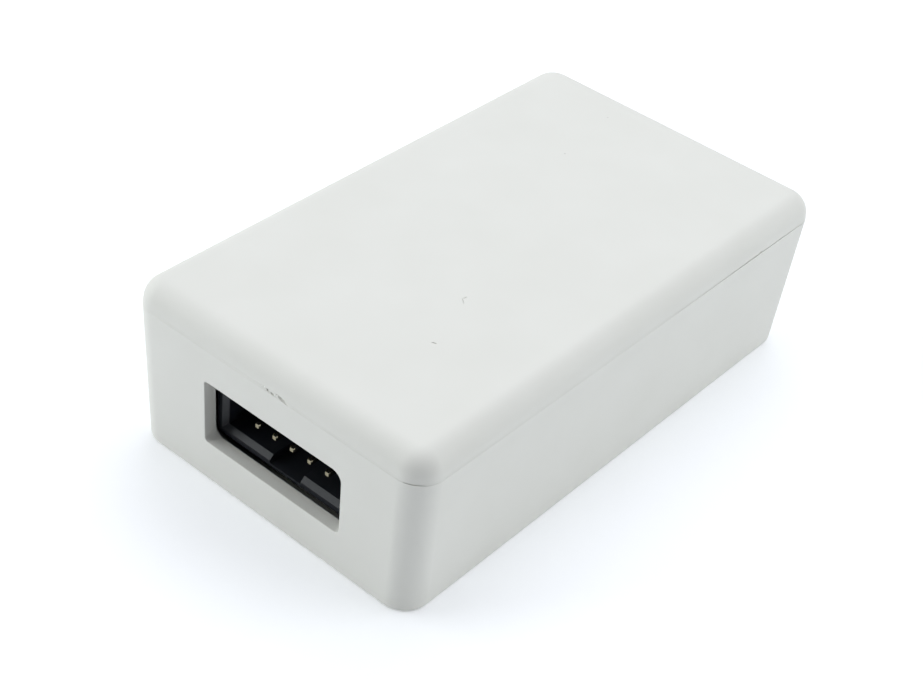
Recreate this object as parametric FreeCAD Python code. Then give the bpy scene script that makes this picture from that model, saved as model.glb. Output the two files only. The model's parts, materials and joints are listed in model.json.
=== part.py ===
import FreeCAD, Part
import math
import os

# USB programmer for microcontrollers: a two-part moulded case round one circuit board.
# Millimetres. X runs across the case, Y along it, Z up. The origin is the middle of the face
# that the case rests on. The programming header looks out at -Y and the USB port at +Y.
# The board sits component side down, so its solder side faces the lift-off cover.

# ---- Case ----
CASE_WIDTH = 41.0               # at the parting line
CASE_LENGTH = 71.0
CASE_HEIGHT = 21.0
PARTING_Z = 18.1                # where the deep shell ends and the cover begins
SHELL_DRAFT = 0.55              # how far each wall leans in between the parting line and the base
COVER_DRAFT = 0.08
WALL = 1.6
FLOOR = 1.8
COVER_SKIN = 1.6
CORNER_RADIUS = 3.2
TOP_EDGE_RADIUS = 2.6
BASE_EDGE_RADIUS = 0.4
COVER_INNER_RADIUS = 1.0

# ---- Joint between the two mouldings ----
LIP = 0.8                       # thickness of the deep shell's rim outside the rebate
REBATE_DEPTH = 1.2
TONGUE_CLEARANCE = 0.1          # between the cover's tongue and the rebate, all round
CRUSH_RIB_PROUD = 0.08          # small ribs on the tongue that grip the rebate
CRUSH_RIB_WIDTH = 1.0
SEAM_BOW = 0.12                 # the cover bows up this much along its right-hand edge
SEAM_NICK = 0.05                # and this much at the front right corner

# ---- Board and the posts that hold it ----
BOARD_WIDTH = 36.6
BOARD_LENGTH = 66.4
BOARD_THICKNESS = 1.6
BOARD_BOTTOM = 14.4             # the component face, which looks down
BOARD_TOP = BOARD_BOTTOM + BOARD_THICKNESS
BOARD_CORNER = 1.5
POST_X = 15.2
POST_Y = 29.5
POST_RADIUS = 2.3
POST_PIN_RADIUS = 1.1
POST_PIN_TOP = 16.9
POST_HOLE_RADIUS = 1.3
POST_WEB = 0.9
POST_WEB_TOP = 10.0
CLAMP_POST_RADIUS = 2.6
CLAMP_POST_BORE = 1.4
CLAMP_GAP = 0.08                # free play of the board under the cover's posts
LEDGE_Y = 10.0                  # side ledges under the board's long edges
LEDGE_WIDTH = 1.2
LEDGE_REACH = 0.8

# ---- Programming header: 2 x 5 pins, right angle, in a shrouded housing ----
PITCH = 2.54
HEADER_X = 0.5
HEADER_Z = 9.95
HEADER_COLUMNS = 5
HEADER_WIDTH = 20.3
HEADER_HEIGHT = 8.9
HEADER_MOUTH_Y = -32.95
HEADER_BACK_Y = -23.85
HEADER_CAVITY_WIDTH = 17.9
HEADER_CAVITY_HEIGHT = 6.4
HEADER_CAVITY_DEPTH = 6.5
HEADER_MOUTH_BEVEL = 0.55
HEADER_KEY_WIDTH = 4.5
HEADER_KEY_SKIN = 0.35          # the wall left under the key groove
PIN_WIDTH = 0.64
PIN_TIP_Y = -32.15
PIN_TAPER = 0.5
PIN_UPPER_BEND_Y = -22.3
PIN_LOWER_BEND_Y = PIN_UPPER_BEND_Y + PITCH
PIN_TOP = 17.3
WINDOW_Z = 9.62
WINDOW_WIDTH = 19.55
WINDOW_HEIGHT = 8.36
WINDOW_RADIUS = 1.3

# ---- USB port: square type, on the rear edge ----
USB_WIDTH = 12.04
USB_HEIGHT = 10.9
USB_LENGTH = 16.2
USB_SHEET = 0.35
USB_MOUTH_Y = 33.2
USB_BACK_Y = USB_MOUTH_Y - USB_LENGTH
USB_Z = BOARD_BOTTOM - USB_HEIGHT / 2
USB_APERTURE_WIDTH = 8.45
USB_APERTURE_HEIGHT = 7.78
USB_APERTURE_BEVEL = 1.9
USB_APERTURE_DEPTH = 10.4
USB_TONGUE_WIDTH = 5.6
USB_TONGUE_HEIGHT = 3.2
USB_TONGUE_SETBACK = 0.9
USB_CONTACT_WIDTH = 0.7
USB_CONTACT_THICKNESS = 0.25
USB_CONTACT_PITCH = 2.5
USB_LEAD_Y = USB_BACK_Y + 2.7
USB_TAB_Y = USB_MOUTH_Y - 10.3
USB_TAB_WIDTH = 2.4
USB_PORT_WIDTH = 13.4
USB_PORT_HEIGHT = 12.2
USB_PORT_RADIUS = 0.8

# ---- Lamps: two 3 mm LEDs beside the USB port ----
LED_X = 9.9
LED_Z = 10.2
LED_RADIUS = 1.5
LED_FLANGE_RADIUS = 1.9
LED_FLANGE_LENGTH = 1.0
LED_TIP_Y = 33.2
LED_LENGTH = 5.3
LED_BEND_Y = 25.4
LED_LEAD_WIDTH = 0.5
LED_HOLE_RADIUS = 1.7

# ---- Plated holes and solder ----
HOLE_CLEARANCE = 0.15
SOLDER_RADIUS = 0.95
SOLDER_TIP_RADIUS = 0.5
SOLDER_HEIGHT = 0.8

# ---- Blank name label in a shallow recess under the case ----
LABEL_WIDTH = 28.0
LABEL_LENGTH = 50.0
LABEL_RADIUS = 1.5
LABEL_RECESS = 0.3
LABEL_THICKNESS = 0.15
LABEL_MARGIN = 0.4

# ---- Parts soldered flat to the component face: centre x, centre y, turn in degrees ----
CONTROLLER_PLACE = (1.0, -3.0, 0)
SHIFTER_PLACE = (-11.0, -12.5, 90)
REGULATOR_PLACE = (12.2, 9.5, 90)
CRYSTAL_PLACE = (0.5, 8.6, 0)
RESERVOIR_PLACE = (-11.6, 8.5, 0)
TANTALUM_PLACE = (12.6, -3.2, 90)
FUSE_PLACE = (-11.6, 16.6, 0)
FERRITE_PLACE = (-11.6, 20.4, 0)
GUARD_PLACE = (10.6, 18.6, 90)
ARRAY_PLACES = [(3.0, -15.2, 0), (-2.6, -15.2, 0)]
CERAMIC_PLACES = [(-3.2, 4.2, 90), (4.4, 4.2, 90), (-6.4, -3.0, 90), (8.2, -6.8, 90),
                  (-4.8, -10.6, 0), (6.6, 14.4, 0), (-16.2, -12.5, 90), (13.2, 15.0, 0)]
RESISTOR_PLACES = [(7.0, -10.6, 0), (10.4, -10.6, 0), (9.6, -15.2, 90), (12.2, -15.2, 90),
                   (-15.6, -2.2, 90), (-13.2, -2.2, 90), (-10.8, -2.2, 90), (-10.4, 24.2, 0),
                   (10.4, 22.9, 0), (-4.2, 14.2, 0)]

# ---- Moulded chips. Bodies: width, length, stand-off, height. ----
# ---- Leads: width, thickness, reach, shoulder height. Rows: leads to a side, pitch. ----
CONTROLLER_BODY = (7.0, 7.0, 0.1, 1.1)
CONTROLLER_LEAD = (0.37, 0.14, 1.0, 0.53)
CONTROLLER_ROW = (8, 0.8)
SHIFTER_BODY = (3.9, 8.65, 0.15, 1.65)
SHIFTER_LEAD = (0.42, 0.2, 1.05, 0.8)
SHIFTER_ROW = (7, 1.27)
REGULATOR_BODY = (3.5, 6.5, 0.05, 1.65)
REGULATOR_LEAD = (0.7, 0.26, 1.75, 0.72)
REGULATOR_TAB = (3.0, 0.26, 1.75, 0.72)
REGULATOR_ROW = (3, 2.3)
GUARD_BODY = (1.6, 2.9, 0.1, 1.1)
GUARD_LEAD = (0.4, 0.15, 0.6, 0.52)
GUARD_ROW = (3, 0.95)
WAIST_BEVEL = 0.12
DIMPLE_RADIUS = 0.35
DIMPLE_DEPTH = 0.1
DIMPLE_INSET = 1.1

# ---- Crystal ----
CRYSTAL_FLANGE = (11.05, 4.65, 0.5)         # length, width, height
CRYSTAL_CAN = (10.2, 3.8, 3.5)
CRYSTAL_EDGE_RADIUS = 0.6
CRYSTAL_LEAD_X = 2.44
CRYSTAL_LEAD_RADIUS = 0.22

# ---- Reservoir capacitor ----
RESERVOIR_RADIUS = 3.15
RESERVOIR_HEIGHT = 5.4
RESERVOIR_EDGE_RADIUS = 0.45
RESERVOIR_SEAT = 0.9                        # where the can starts inside its base
RESERVOIR_NECK_Z = 1.75
RESERVOIR_NECK_RADIUS = 0.32
RESERVOIR_BASE_HALF = 3.3
RESERVOIR_BASE_CUT = 1.2
RESERVOIR_BASE_HEIGHT = 1.15
RESERVOIR_BASE_STANDOFF = 0.05
RESERVOIR_TAG = (1.2, 3.9, 0.7, 0.2)        # inner end, outer end, width, thickness

# ---- Tantalum capacitor ----
TANTALUM_BODY = (6.0, 3.2, 0.1, 2.5)
TANTALUM_FOOT_START = 2.2
TANTALUM_FOOT_END = 3.15
TANTALUM_END_WIDTH = 2.2
TANTALUM_FOOT_HEIGHT = 0.12
TANTALUM_LEG_THICKNESS = 0.13
TANTALUM_LEG_HEIGHT = 1.2
TANTALUM_GROOVE = 0.1                       # room for the foot in the body

# ---- Chip parts: length, width, height, end length ----
CERAMIC_CHIP = (2.0, 1.25, 1.1, 0.4)
RESISTOR_CHIP = (2.0, 1.25, 0.55, 0.4)
FUSE_CHIP = (4.5, 3.2, 0.7, 0.45)
FERRITE_CHIP = (3.2, 1.6, 1.1, 0.5)
CHIP_BODY_INSET = 0.02                      # a body is this much smaller than its ends
ARRAY_BODY = (3.2, 1.0, 0.55)
ARRAY_END = (0.44, 0.3)                     # width and reach of one end
ARRAY_PITCH = 0.8


def vec(x, y, z):
    return FreeCAD.Vector(x, y, z)


def box(x_range, y_range, z_range):
    low = vec(x_range[0], y_range[0], z_range[0])
    return Part.makeBox(x_range[1] - x_range[0], y_range[1] - y_range[0], z_range[1] - z_range[0], low)


def centred_box(x, y, z_range, width, length):
    return box((x - width / 2, x + width / 2), (y - length / 2, y + length / 2), z_range)


def upright(x, y, z_range, radius, top_radius=None):
    """A round bar along Z, tapered where a second radius is given."""
    height = z_range[1] - z_range[0]
    if top_radius is None:
        return Part.makeCylinder(radius, height, vec(x, y, z_range[0]))
    return Part.makeCone(radius, top_radius, height, vec(x, y, z_range[0]))


def union(shapes):
    return shapes[0].fuse(shapes[1:]).removeSplitter()


def cut_all(shape, tools):
    return shape.cut(Part.makeCompound(tools))


def prism(points, direction):
    """A flat outline pushed along a direction."""
    return Part.Face(Part.makePolygon(points + [points[0]])).extrude(direction)


def upright_edges(shape):
    return [edge for edge in shape.Edges if abs(edge.Vertexes[0].Z - edge.Vertexes[-1].Z) > 1e-6]


def edges_at(shape, z):
    return [edge for edge in shape.Edges if edge.BoundBox.ZMin > z - 1e-4 and edge.BoundBox.ZMax < z + 1e-4]


def drafted_block(low_half, high_half, z_range, radius):
    """A block with leaning walls and round corners; each half size is (x, y)."""
    block = Part.makeWedge(-low_half[0], z_range[0], -low_half[1], -high_half[1], -high_half[0],
                           low_half[0], z_range[1], low_half[1], high_half[1], high_half[0])
    block.rotate(vec(0, 0, 0), vec(1, 0, 0), 90)
    return block.makeFillet(radius, upright_edges(block))


def straight_block(half, z_range, radius):
    return drafted_block(half, half, z_range, radius)


def outline_half(z, inward=0.0):
    """Half the case's width and length at a height, less a distance inwards."""
    lean = SHELL_DRAFT * (1 - z / PARTING_Z)
    return (CASE_WIDTH / 2 - lean - inward, CASE_LENGTH / 2 - lean - inward)


def port_cutter(x, z, width, height, radius, y_range):
    """A round-cornered hole through an end wall."""
    cutter = centred_box(x, (y_range[0] + y_range[1]) / 2, (z - height / 2, z + height / 2),
                         width, y_range[1] - y_range[0])
    along = [edge for edge in cutter.Edges if abs(edge.Vertexes[0].Y - edge.Vertexes[1].Y) > 1]
    return cutter.makeFillet(radius, along)


def post_places():
    return [(side * POST_X, end * POST_Y, side, end) for side in (-1, 1) for end in (-1, 1)]


def board_post(x, y, side, end):
    """A post with a locating pin, and two webs that tie it to the walls."""
    wall_x, wall_y = outline_half(POST_WEB_TOP, WALL - 0.1)
    foot = FLOOR - 0.2
    side_web = box(sorted((x, side * wall_x)), (y - POST_WEB / 2, y + POST_WEB / 2), (foot, POST_WEB_TOP))
    end_web = box((x - POST_WEB / 2, x + POST_WEB / 2), sorted((y, end * wall_y)), (foot, POST_WEB_TOP))
    pin_shoulder = POST_PIN_TOP - 0.4
    return [upright(x, y, (foot, BOARD_BOTTOM), POST_RADIUS),
            upright(x, y, (BOARD_BOTTOM, pin_shoulder), POST_PIN_RADIUS),
            upright(x, y, (pin_shoulder, POST_PIN_TOP), POST_PIN_RADIUS, POST_PIN_RADIUS - 0.4),
            side_web, end_web]


def side_ledge(side, end):
    wall_x = outline_half(BOARD_BOTTOM, WALL - 0.1)[0]
    x_range = sorted((side * (wall_x - LEDGE_REACH), side * wall_x))
    y = end * LEDGE_Y
    return box(x_range, (y - LEDGE_WIDTH / 2, y + LEDGE_WIDTH / 2), (FLOOR - 0.2, BOARD_BOTTOM))


def make_deep_shell():
    """The tray with both ports, which stands on the bench."""
    outer = drafted_block(outline_half(0), outline_half(PARTING_Z), (0, PARTING_Z), CORNER_RADIUS)
    outer = outer.makeFillet(BASE_EDGE_RADIUS, edges_at(outer, 0))
    inner = drafted_block(outline_half(FLOOR, WALL), outline_half(PARTING_Z, WALL),
                          (FLOOR, PARTING_Z), CORNER_RADIUS - WALL)
    rebate = straight_block(outline_half(PARTING_Z, LIP), (PARTING_Z - REBATE_DEPTH, PARTING_Z),
                            CORNER_RADIUS - LIP)
    tray = outer.cut(inner).cut(rebate)
    details = []
    for place in post_places():
        details += board_post(*place)
    for side in (-1, 1):
        for end in (-1, 1):
            details.append(side_ledge(side, end))
    tray = union([tray] + details)
    front = (-CASE_LENGTH / 2 - 1, -CASE_LENGTH / 2 + 2.5)
    rear = (CASE_LENGTH / 2 - 2.5, CASE_LENGTH / 2 + 1)
    openings = [port_cutter(HEADER_X, WINDOW_Z, WINDOW_WIDTH, WINDOW_HEIGHT, WINDOW_RADIUS, front),
                port_cutter(0, USB_Z, USB_PORT_WIDTH, USB_PORT_HEIGHT, USB_PORT_RADIUS, rear)]
    for side in (-1, 1):
        openings.append(Part.makeCylinder(LED_HOLE_RADIUS, rear[1] - rear[0],
                                          vec(side * LED_X, rear[0], LED_Z), vec(0, 1, 0)))
    half = (LABEL_WIDTH / 2 + LABEL_MARGIN, LABEL_LENGTH / 2 + LABEL_MARGIN)
    openings.append(straight_block(half, (0, LABEL_RECESS), LABEL_RADIUS + LABEL_MARGIN))
    return cut_all(tray, openings)


def make_name_label():
    """A blank plate label stuck in the recess, clear of the bench."""
    half = (LABEL_WIDTH / 2, LABEL_LENGTH / 2)
    return straight_block(half, (LABEL_RECESS - LABEL_THICKNESS, LABEL_RECESS), LABEL_RADIUS)


def crush_ribs(half, z_range):
    """Ribs on the tongue's outer face that take up its clearance."""
    ribs = []
    reach = CRUSH_RIB_PROUD + 0.2
    for side in (-1, 1):
        for y in (-20.0, 0.0, 20.0):
            x_range = sorted((side * (half[0] - 0.2), side * (half[0] - 0.2 + reach)))
            ribs.append(box(x_range, (y - CRUSH_RIB_WIDTH / 2, y + CRUSH_RIB_WIDTH / 2), z_range))
        for x in (-9.0, 9.0):
            y_range = sorted((side * (half[1] - 0.2), side * (half[1] - 0.2 + reach)))
            ribs.append(box((x - CRUSH_RIB_WIDTH / 2, x + CRUSH_RIB_WIDTH / 2), y_range, z_range))
    return ribs


def seam_gaps():
    """Where the cover has bowed off the rim: a long sliver on the right, a nick at the corner."""
    x = CASE_WIDTH / 2 - LIP - TONGUE_CLEARANCE
    end = CASE_LENGTH / 2 + 0.5
    profile = [(-6.0, 0), (end, 0), (end, 0.4), (29.0, 0.85), (22.0, 1.0), (13.0, 0.55)]
    points = [vec(x, y, PARTING_Z + rise * SEAM_BOW) for y, rise in profile]
    bow = prism(points, vec(CASE_WIDTH / 2 - x + 0.5, 0, 0))
    nick = box((CASE_WIDTH / 2 - 3.0, CASE_WIDTH / 2 - LIP - TONGUE_CLEARANCE),
               (-CASE_LENGTH / 2 - 0.5, -CASE_LENGTH / 2 + LIP + TONGUE_CLEARANCE),
               (PARTING_Z, PARTING_Z + SEAM_NICK))
    return [bow, nick]


def make_cover():
    """The shallow moulding that closes the case, with a tongue round its rim."""
    rim_half = outline_half(PARTING_Z)
    top_half = (rim_half[0] - COVER_DRAFT, rim_half[1] - COVER_DRAFT)
    outer = drafted_block(rim_half, top_half, (PARTING_Z, CASE_HEIGHT), CORNER_RADIUS)
    outer = outer.makeFillet(TOP_EDGE_RADIUS, edges_at(outer, CASE_HEIGHT))
    tongue_bottom = PARTING_Z - REBATE_DEPTH + TONGUE_CLEARANCE
    tongue_half = outline_half(PARTING_Z, LIP + TONGUE_CLEARANCE)
    tongue = straight_block(tongue_half, (tongue_bottom, PARTING_Z + 0.3),
                            CORNER_RADIUS - LIP - TONGUE_CLEARANCE)
    ribs = crush_ribs(tongue_half, (tongue_bottom + 0.2, PARTING_Z + 0.2))
    hollow = straight_block(outline_half(PARTING_Z, WALL), (tongue_bottom, CASE_HEIGHT - COVER_SKIN),
                            CORNER_RADIUS - WALL)
    hollow = hollow.makeFillet(COVER_INNER_RADIUS, edges_at(hollow, CASE_HEIGHT - COVER_SKIN))
    cover = union([outer.cut(Part.makeCompound(seam_gaps())), tongue] + ribs).cut(hollow)
    ceiling = CASE_HEIGHT - COVER_SKIN
    foot = BOARD_TOP + CLAMP_GAP
    posts = []
    bores = []
    for x, y, _, _ in post_places():
        posts.append(upright(x, y, (foot, ceiling + 0.3), CLAMP_POST_RADIUS))
        bores.append(upright(x, y, (foot, ceiling - 0.8), CLAMP_POST_BORE))
    return cut_all(union([cover] + posts), bores)


def header_columns():
    return [HEADER_X + (column - (HEADER_COLUMNS - 1) / 2) * PITCH for column in range(HEADER_COLUMNS)]


def header_rows():
    """Each row's height and the place where its pins turn up through the board."""
    return {"upper": (HEADER_Z + PITCH / 2, PIN_UPPER_BEND_Y),
            "lower": (HEADER_Z - PITCH / 2, PIN_LOWER_BEND_Y)}


def usb_lead_places():
    """The four signal leads, two by two behind the socket."""
    half = USB_CONTACT_PITCH / 2
    return [(side * half, USB_LEAD_Y + row * 2.0) for side in (-1, 1) for row in (0, 1)]


def usb_tab_places():
    return [(side * (USB_WIDTH / 2 - USB_SHEET / 2), USB_TAB_Y) for side in (-1, 1)]


def led_lead_places():
    return [(side * LED_X + lead * PITCH / 2, LED_BEND_Y) for side in (-1, 1) for lead in (-1, 1)]


def crystal_lead_places():
    x, y, _ = CRYSTAL_PLACE
    return [(x - CRYSTAL_LEAD_X, y), (x + CRYSTAL_LEAD_X, y)]


def solder_places():
    """Every pin through the board: x, y and half the pin's larger side."""
    places = [(x, bend, PIN_WIDTH / 2) for _, bend in header_rows().values() for x in header_columns()]
    places += [(x, y, USB_CONTACT_WIDTH / 2) for x, y in usb_lead_places()]
    places += [(x, y, LED_LEAD_WIDTH / 2) for x, y in led_lead_places()]
    places += [(x, y, CRYSTAL_LEAD_RADIUS) for x, y in crystal_lead_places()]
    return places


def make_circuit_board():
    """Glass-fibre board with post holes and plated holes."""
    half = (BOARD_WIDTH / 2, BOARD_LENGTH / 2)
    board = straight_block(half, (BOARD_BOTTOM, BOARD_TOP), BOARD_CORNER)
    through = (BOARD_BOTTOM - 1, BOARD_TOP + 1)
    holes = [upright(x, y, through, POST_HOLE_RADIUS) for x, y, _, _ in post_places()]
    for x, y, pin_half in solder_places():
        holes.append(upright(x, y, through, pin_half * math.sqrt(2) + HOLE_CLEARANCE))
    for x, y in usb_tab_places():
        holes.append(centred_box(x, y, through, USB_SHEET + 0.4, USB_TAB_WIDTH + 0.4))
    return cut_all(board, holes)


def make_solder_joints():
    """A cone of solder round every pin on the upper face."""
    z_range = (BOARD_TOP, BOARD_TOP + SOLDER_HEIGHT)
    joints = []
    for x, y, pin_half in solder_places():
        cone = upright(x, y, z_range, SOLDER_RADIUS, SOLDER_TIP_RADIUS)
        width = 2 * pin_half
        pin = upright(x, y, z_range, pin_half) if pin_half < 0.25 else centred_box(x, y, z_range, width, width)
        joints.append(cone.cut(pin))
    for x, y in usb_tab_places():
        pad = centred_box(x, y, z_range, 1.6, USB_TAB_WIDTH + 1.2)
        joints.append(pad.cut(centred_box(x, y, z_range, USB_SHEET, USB_TAB_WIDTH)))
    return Part.makeCompound(joints)


def bent_pin(x, z, bend_y):
    """A square header pin: along Y, then up through the board, tapered at the tip."""
    half = PIN_WIDTH / 2
    shoulder_y = PIN_TIP_Y + PIN_TAPER
    run = centred_box(x, (shoulder_y + bend_y + half) / 2, (z - half, z + half),
                      PIN_WIDTH, bend_y + half - shoulder_y)
    rise = centred_box(x, bend_y, (z - half, PIN_TOP), PIN_WIDTH, PIN_WIDTH)
    tip = Part.makeWedge(-half, 0, -half, -half / 2, -half / 2, half, PIN_TAPER, half, half / 2, half / 2)
    tip.rotate(vec(0, 0, 0), vec(0, 0, 1), 180)
    tip.translate(vec(x, shoulder_y, z))
    pin = union([run, rise, tip])
    heel = [edge for edge in pin.Edges
            if abs(edge.BoundBox.YMax - (bend_y + half)) < 1e-3 and edge.BoundBox.YLength < 1e-3
            and edge.BoundBox.ZLength < 1e-3 and edge.BoundBox.ZMax < z]
    return pin.makeFillet(PIN_WIDTH * 0.8, heel)


def make_header_pins(row):
    z, bend_y = header_rows()[row]
    return Part.makeCompound([bent_pin(x, z, bend_y) for x in header_columns()])


def make_header_housing():
    """Black shroud with a bevelled mouth, and a key groove inside its lower wall."""
    height = (HEADER_Z - HEADER_HEIGHT / 2, HEADER_Z + HEADER_HEIGHT / 2)
    width = (HEADER_X - HEADER_WIDTH / 2, HEADER_X + HEADER_WIDTH / 2)
    shroud = box(width, (HEADER_MOUTH_Y, HEADER_BACK_Y), height)
    floor_y = HEADER_MOUTH_Y + HEADER_CAVITY_DEPTH
    half = (HEADER_CAVITY_WIDTH / 2, HEADER_CAVITY_HEIGHT / 2)
    cavity = centred_box(HEADER_X, (HEADER_MOUTH_Y + floor_y) / 2, (HEADER_Z - half[1], HEADER_Z + half[1]),
                         HEADER_CAVITY_WIDTH, HEADER_CAVITY_DEPTH)
    bevel = HEADER_MOUTH_BEVEL
    mouth = Part.makeWedge(-half[0] - bevel, 0, -half[1] - bevel, -half[1], -half[0],
                           half[0] + bevel, bevel, half[1] + bevel, half[1], half[0])
    mouth.translate(vec(HEADER_X, HEADER_MOUTH_Y, HEADER_Z))
    key_width = (HEADER_X - HEADER_KEY_WIDTH / 2, HEADER_X + HEADER_KEY_WIDTH / 2)
    groove = box(key_width, (HEADER_MOUTH_Y, floor_y), (height[0] + HEADER_KEY_SKIN, HEADER_Z))
    pins = [centred_box(x, (floor_y + HEADER_BACK_Y) / 2, (z - PIN_WIDTH / 2, z + PIN_WIDTH / 2),
                        PIN_WIDTH, HEADER_BACK_Y - floor_y)
            for x in header_columns() for z, _ in header_rows().values()]
    foot_grooves = [centred_box(x, HEADER_BACK_Y - 0.5, (height[1] - 0.5, height[1]), 1.2, 1.0)
                    for x in header_columns()]
    return cut_all(shroud, [cavity, mouth, groove] + pins + foot_grooves)


def aperture_profile(width, height, bevel, y, grow=0.0):
    """The port's outline, with two bevelled corners on the side away from the board."""
    half_w = width / 2 + grow
    half_h = height / 2 + grow
    points = [(-half_w, half_h), (half_w, half_h), (half_w, -half_h + bevel),
              (half_w - bevel, -half_h), (-half_w + bevel, -half_h), (-half_w, -half_h + bevel)]
    return [vec(x, y, USB_Z + z) for x, z in points]


def make_usb_shell():
    """Folded sheet-metal can, open at the rear edge, with two soldered tabs."""
    width = (-USB_WIDTH / 2, USB_WIDTH / 2)
    height = (USB_Z - USB_HEIGHT / 2, USB_Z + USB_HEIGHT / 2)
    can = box(width, (USB_BACK_Y, USB_MOUTH_Y), height)
    fold = [edge for edge in can.Edges if abs(edge.Vertexes[0].Y - edge.Vertexes[1].Y) > 1]
    can = can.makeFillet(USB_SHEET, fold)
    core = box((width[0] + USB_SHEET, width[1] - USB_SHEET),
               (USB_BACK_Y + USB_SHEET, USB_MOUTH_Y - USB_SHEET),
               (height[0] + USB_SHEET, height[1] - USB_SHEET))
    face_hole = prism(aperture_profile(USB_APERTURE_WIDTH, USB_APERTURE_HEIGHT, USB_APERTURE_BEVEL,
                                       USB_MOUTH_Y - 1, 0.35), vec(0, 2, 0))
    lead_slot = centred_box(0, USB_LEAD_Y + 1.0, (height[1] - 1, height[1] + 1), 4.6, 4.6)
    tabs = []
    for x, y in usb_tab_places():
        tabs.append(centred_box(x, y, (height[1] - 1.5, BOARD_TOP + 1.0), USB_SHEET, USB_TAB_WIDTH))
    springs = []
    for side in (-1, 1):
        slit_x = side * (USB_WIDTH / 2)
        for z in (-1.6, 1.6):
            springs.append(centred_box(slit_x, USB_MOUTH_Y - 4.6, (USB_Z + z - 0.15, USB_Z + z + 0.15), 1.0, 5.4))
        springs.append(centred_box(slit_x, USB_MOUTH_Y - 7.2, (USB_Z - 1.6, USB_Z + 1.6), 1.0, 0.3))
    return union([cut_all(can, [core, face_hole, lead_slot] + springs)] + tabs)


def make_usb_insulator():
    """White block inside the can, with the port's cavity and its contact tongue."""
    inside = (USB_WIDTH / 2 - USB_SHEET, USB_HEIGHT / 2 - USB_SHEET)
    front_y = USB_MOUTH_Y - USB_SHEET
    block = box((-inside[0], inside[0]), (USB_BACK_Y + USB_SHEET, front_y),
                (USB_Z - inside[1], USB_Z + inside[1]))
    floor_y = front_y - USB_APERTURE_DEPTH
    cavity = prism(aperture_profile(USB_APERTURE_WIDTH, USB_APERTURE_HEIGHT, USB_APERTURE_BEVEL, floor_y),
                   vec(0, USB_APERTURE_DEPTH + 1, 0))
    tongue = centred_box(0, (floor_y + USB_MOUTH_Y - USB_TONGUE_SETBACK) / 2 - 0.5,
                         (USB_Z - USB_TONGUE_HEIGHT / 2, USB_Z + USB_TONGUE_HEIGHT / 2),
                         USB_TONGUE_WIDTH, USB_MOUTH_Y - USB_TONGUE_SETBACK - floor_y + 1.0)
    block = union([block.cut(cavity), tongue])
    grooves = [contact.copy() for contact in usb_contact_list()]
    return cut_all(block, grooves)


def usb_contact_list():
    """Four strips on the tongue, each running back and turning up to the board."""
    contacts = []
    half = USB_CONTACT_PITCH / 2
    front_y = USB_MOUTH_Y - USB_TONGUE_SETBACK - 0.6
    face = USB_TONGUE_HEIGHT / 2
    thick = USB_CONTACT_THICKNESS
    for side in (-1, 1):
        for row in (0, 1):
            lead_y = USB_LEAD_Y + row * 2.0
            z = (USB_Z + face - thick, USB_Z + face) if row else (USB_Z - face, USB_Z - face + thick)
            x = side * half
            strip = box((x - USB_CONTACT_WIDTH / 2, x + USB_CONTACT_WIDTH / 2),
                        (lead_y - thick / 2, front_y), z)
            rise = centred_box(x, lead_y, (z[0], BOARD_TOP + 1.0), USB_CONTACT_WIDTH, thick)
            contacts.append(union([strip, rise]))
    return contacts


def make_usb_contacts():
    return Part.makeCompound(usb_contact_list())


def make_led(side):
    """A 3 mm lamp lying along Y with a domed tip and a flange."""
    base_y = LED_TIP_Y - LED_LENGTH
    along = vec(0, 1, 0)
    start = vec(side * LED_X, base_y, LED_Z)
    flange = Part.makeCylinder(LED_FLANGE_RADIUS, LED_FLANGE_LENGTH, start, along)
    barrel = Part.makeCylinder(LED_RADIUS, LED_LENGTH - LED_RADIUS, start, along)
    dome = Part.makeSphere(LED_RADIUS, vec(side * LED_X, LED_TIP_Y - LED_RADIUS, LED_Z))
    lamp = union([flange, barrel, dome])
    flat = centred_box(side * LED_X + LED_FLANGE_RADIUS, base_y + LED_FLANGE_LENGTH / 2,
                       (LED_Z - 2, LED_Z + 2), 2 * (LED_FLANGE_RADIUS - LED_RADIUS), LED_FLANGE_LENGTH)
    return lamp.cut(flat)


def make_led_leads(side):
    """Two square leads bent up to the board."""
    base_y = LED_TIP_Y - LED_LENGTH
    half = LED_LEAD_WIDTH / 2
    leads = []
    for lead in (-1, 1):
        x = side * LED_X + lead * PITCH / 2
        run = box((x - half, x + half), (LED_BEND_Y - half, base_y), (LED_Z - half, LED_Z + half))
        rise = centred_box(x, LED_BEND_Y, (LED_Z - half, BOARD_TOP + 1.2), LED_LEAD_WIDTH, LED_LEAD_WIDTH)
        leads.append(union([run, rise]))
    return Part.makeCompound(leads)


def on_board(shape, place):
    """Moves a part drawn standing on z = 0 to hang under the board."""
    x, y, turn = place
    moved = shape.copy()
    moved.rotate(vec(0, 0, 0), vec(0, 0, 1), turn)
    moved.rotate(vec(0, 0, 0), vec(0, 1, 0), 180)
    moved.translate(vec(x, y, BOARD_BOTTOM))
    return moved


def package_body(width, length, standoff, height):
    """A moulded chip body with a bevelled waist at its lead line, and a dimple by its first lead."""
    middle = standoff + (height - standoff) / 2
    half = (width / 2, length / 2)
    tight = (half[0] - WAIST_BEVEL, half[1] - WAIST_BEVEL)
    lower = Part.makeWedge(-tight[0], standoff, -tight[1], -half[1], -half[0],
                           tight[0], middle, tight[1], half[1], half[0])
    upper = Part.makeWedge(-half[0], middle, -half[1], -tight[1], -tight[0],
                           half[0], height, half[1], tight[1], tight[0])
    body = lower.fuse(upper).removeSplitter()
    body.rotate(vec(0, 0, 0), vec(1, 0, 0), 90)
    dimple = upright(-half[0] + DIMPLE_INSET, half[1] - DIMPLE_INSET, (height - DIMPLE_DEPTH, height + 1),
                     DIMPLE_RADIUS)
    return body.cut(dimple)


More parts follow.
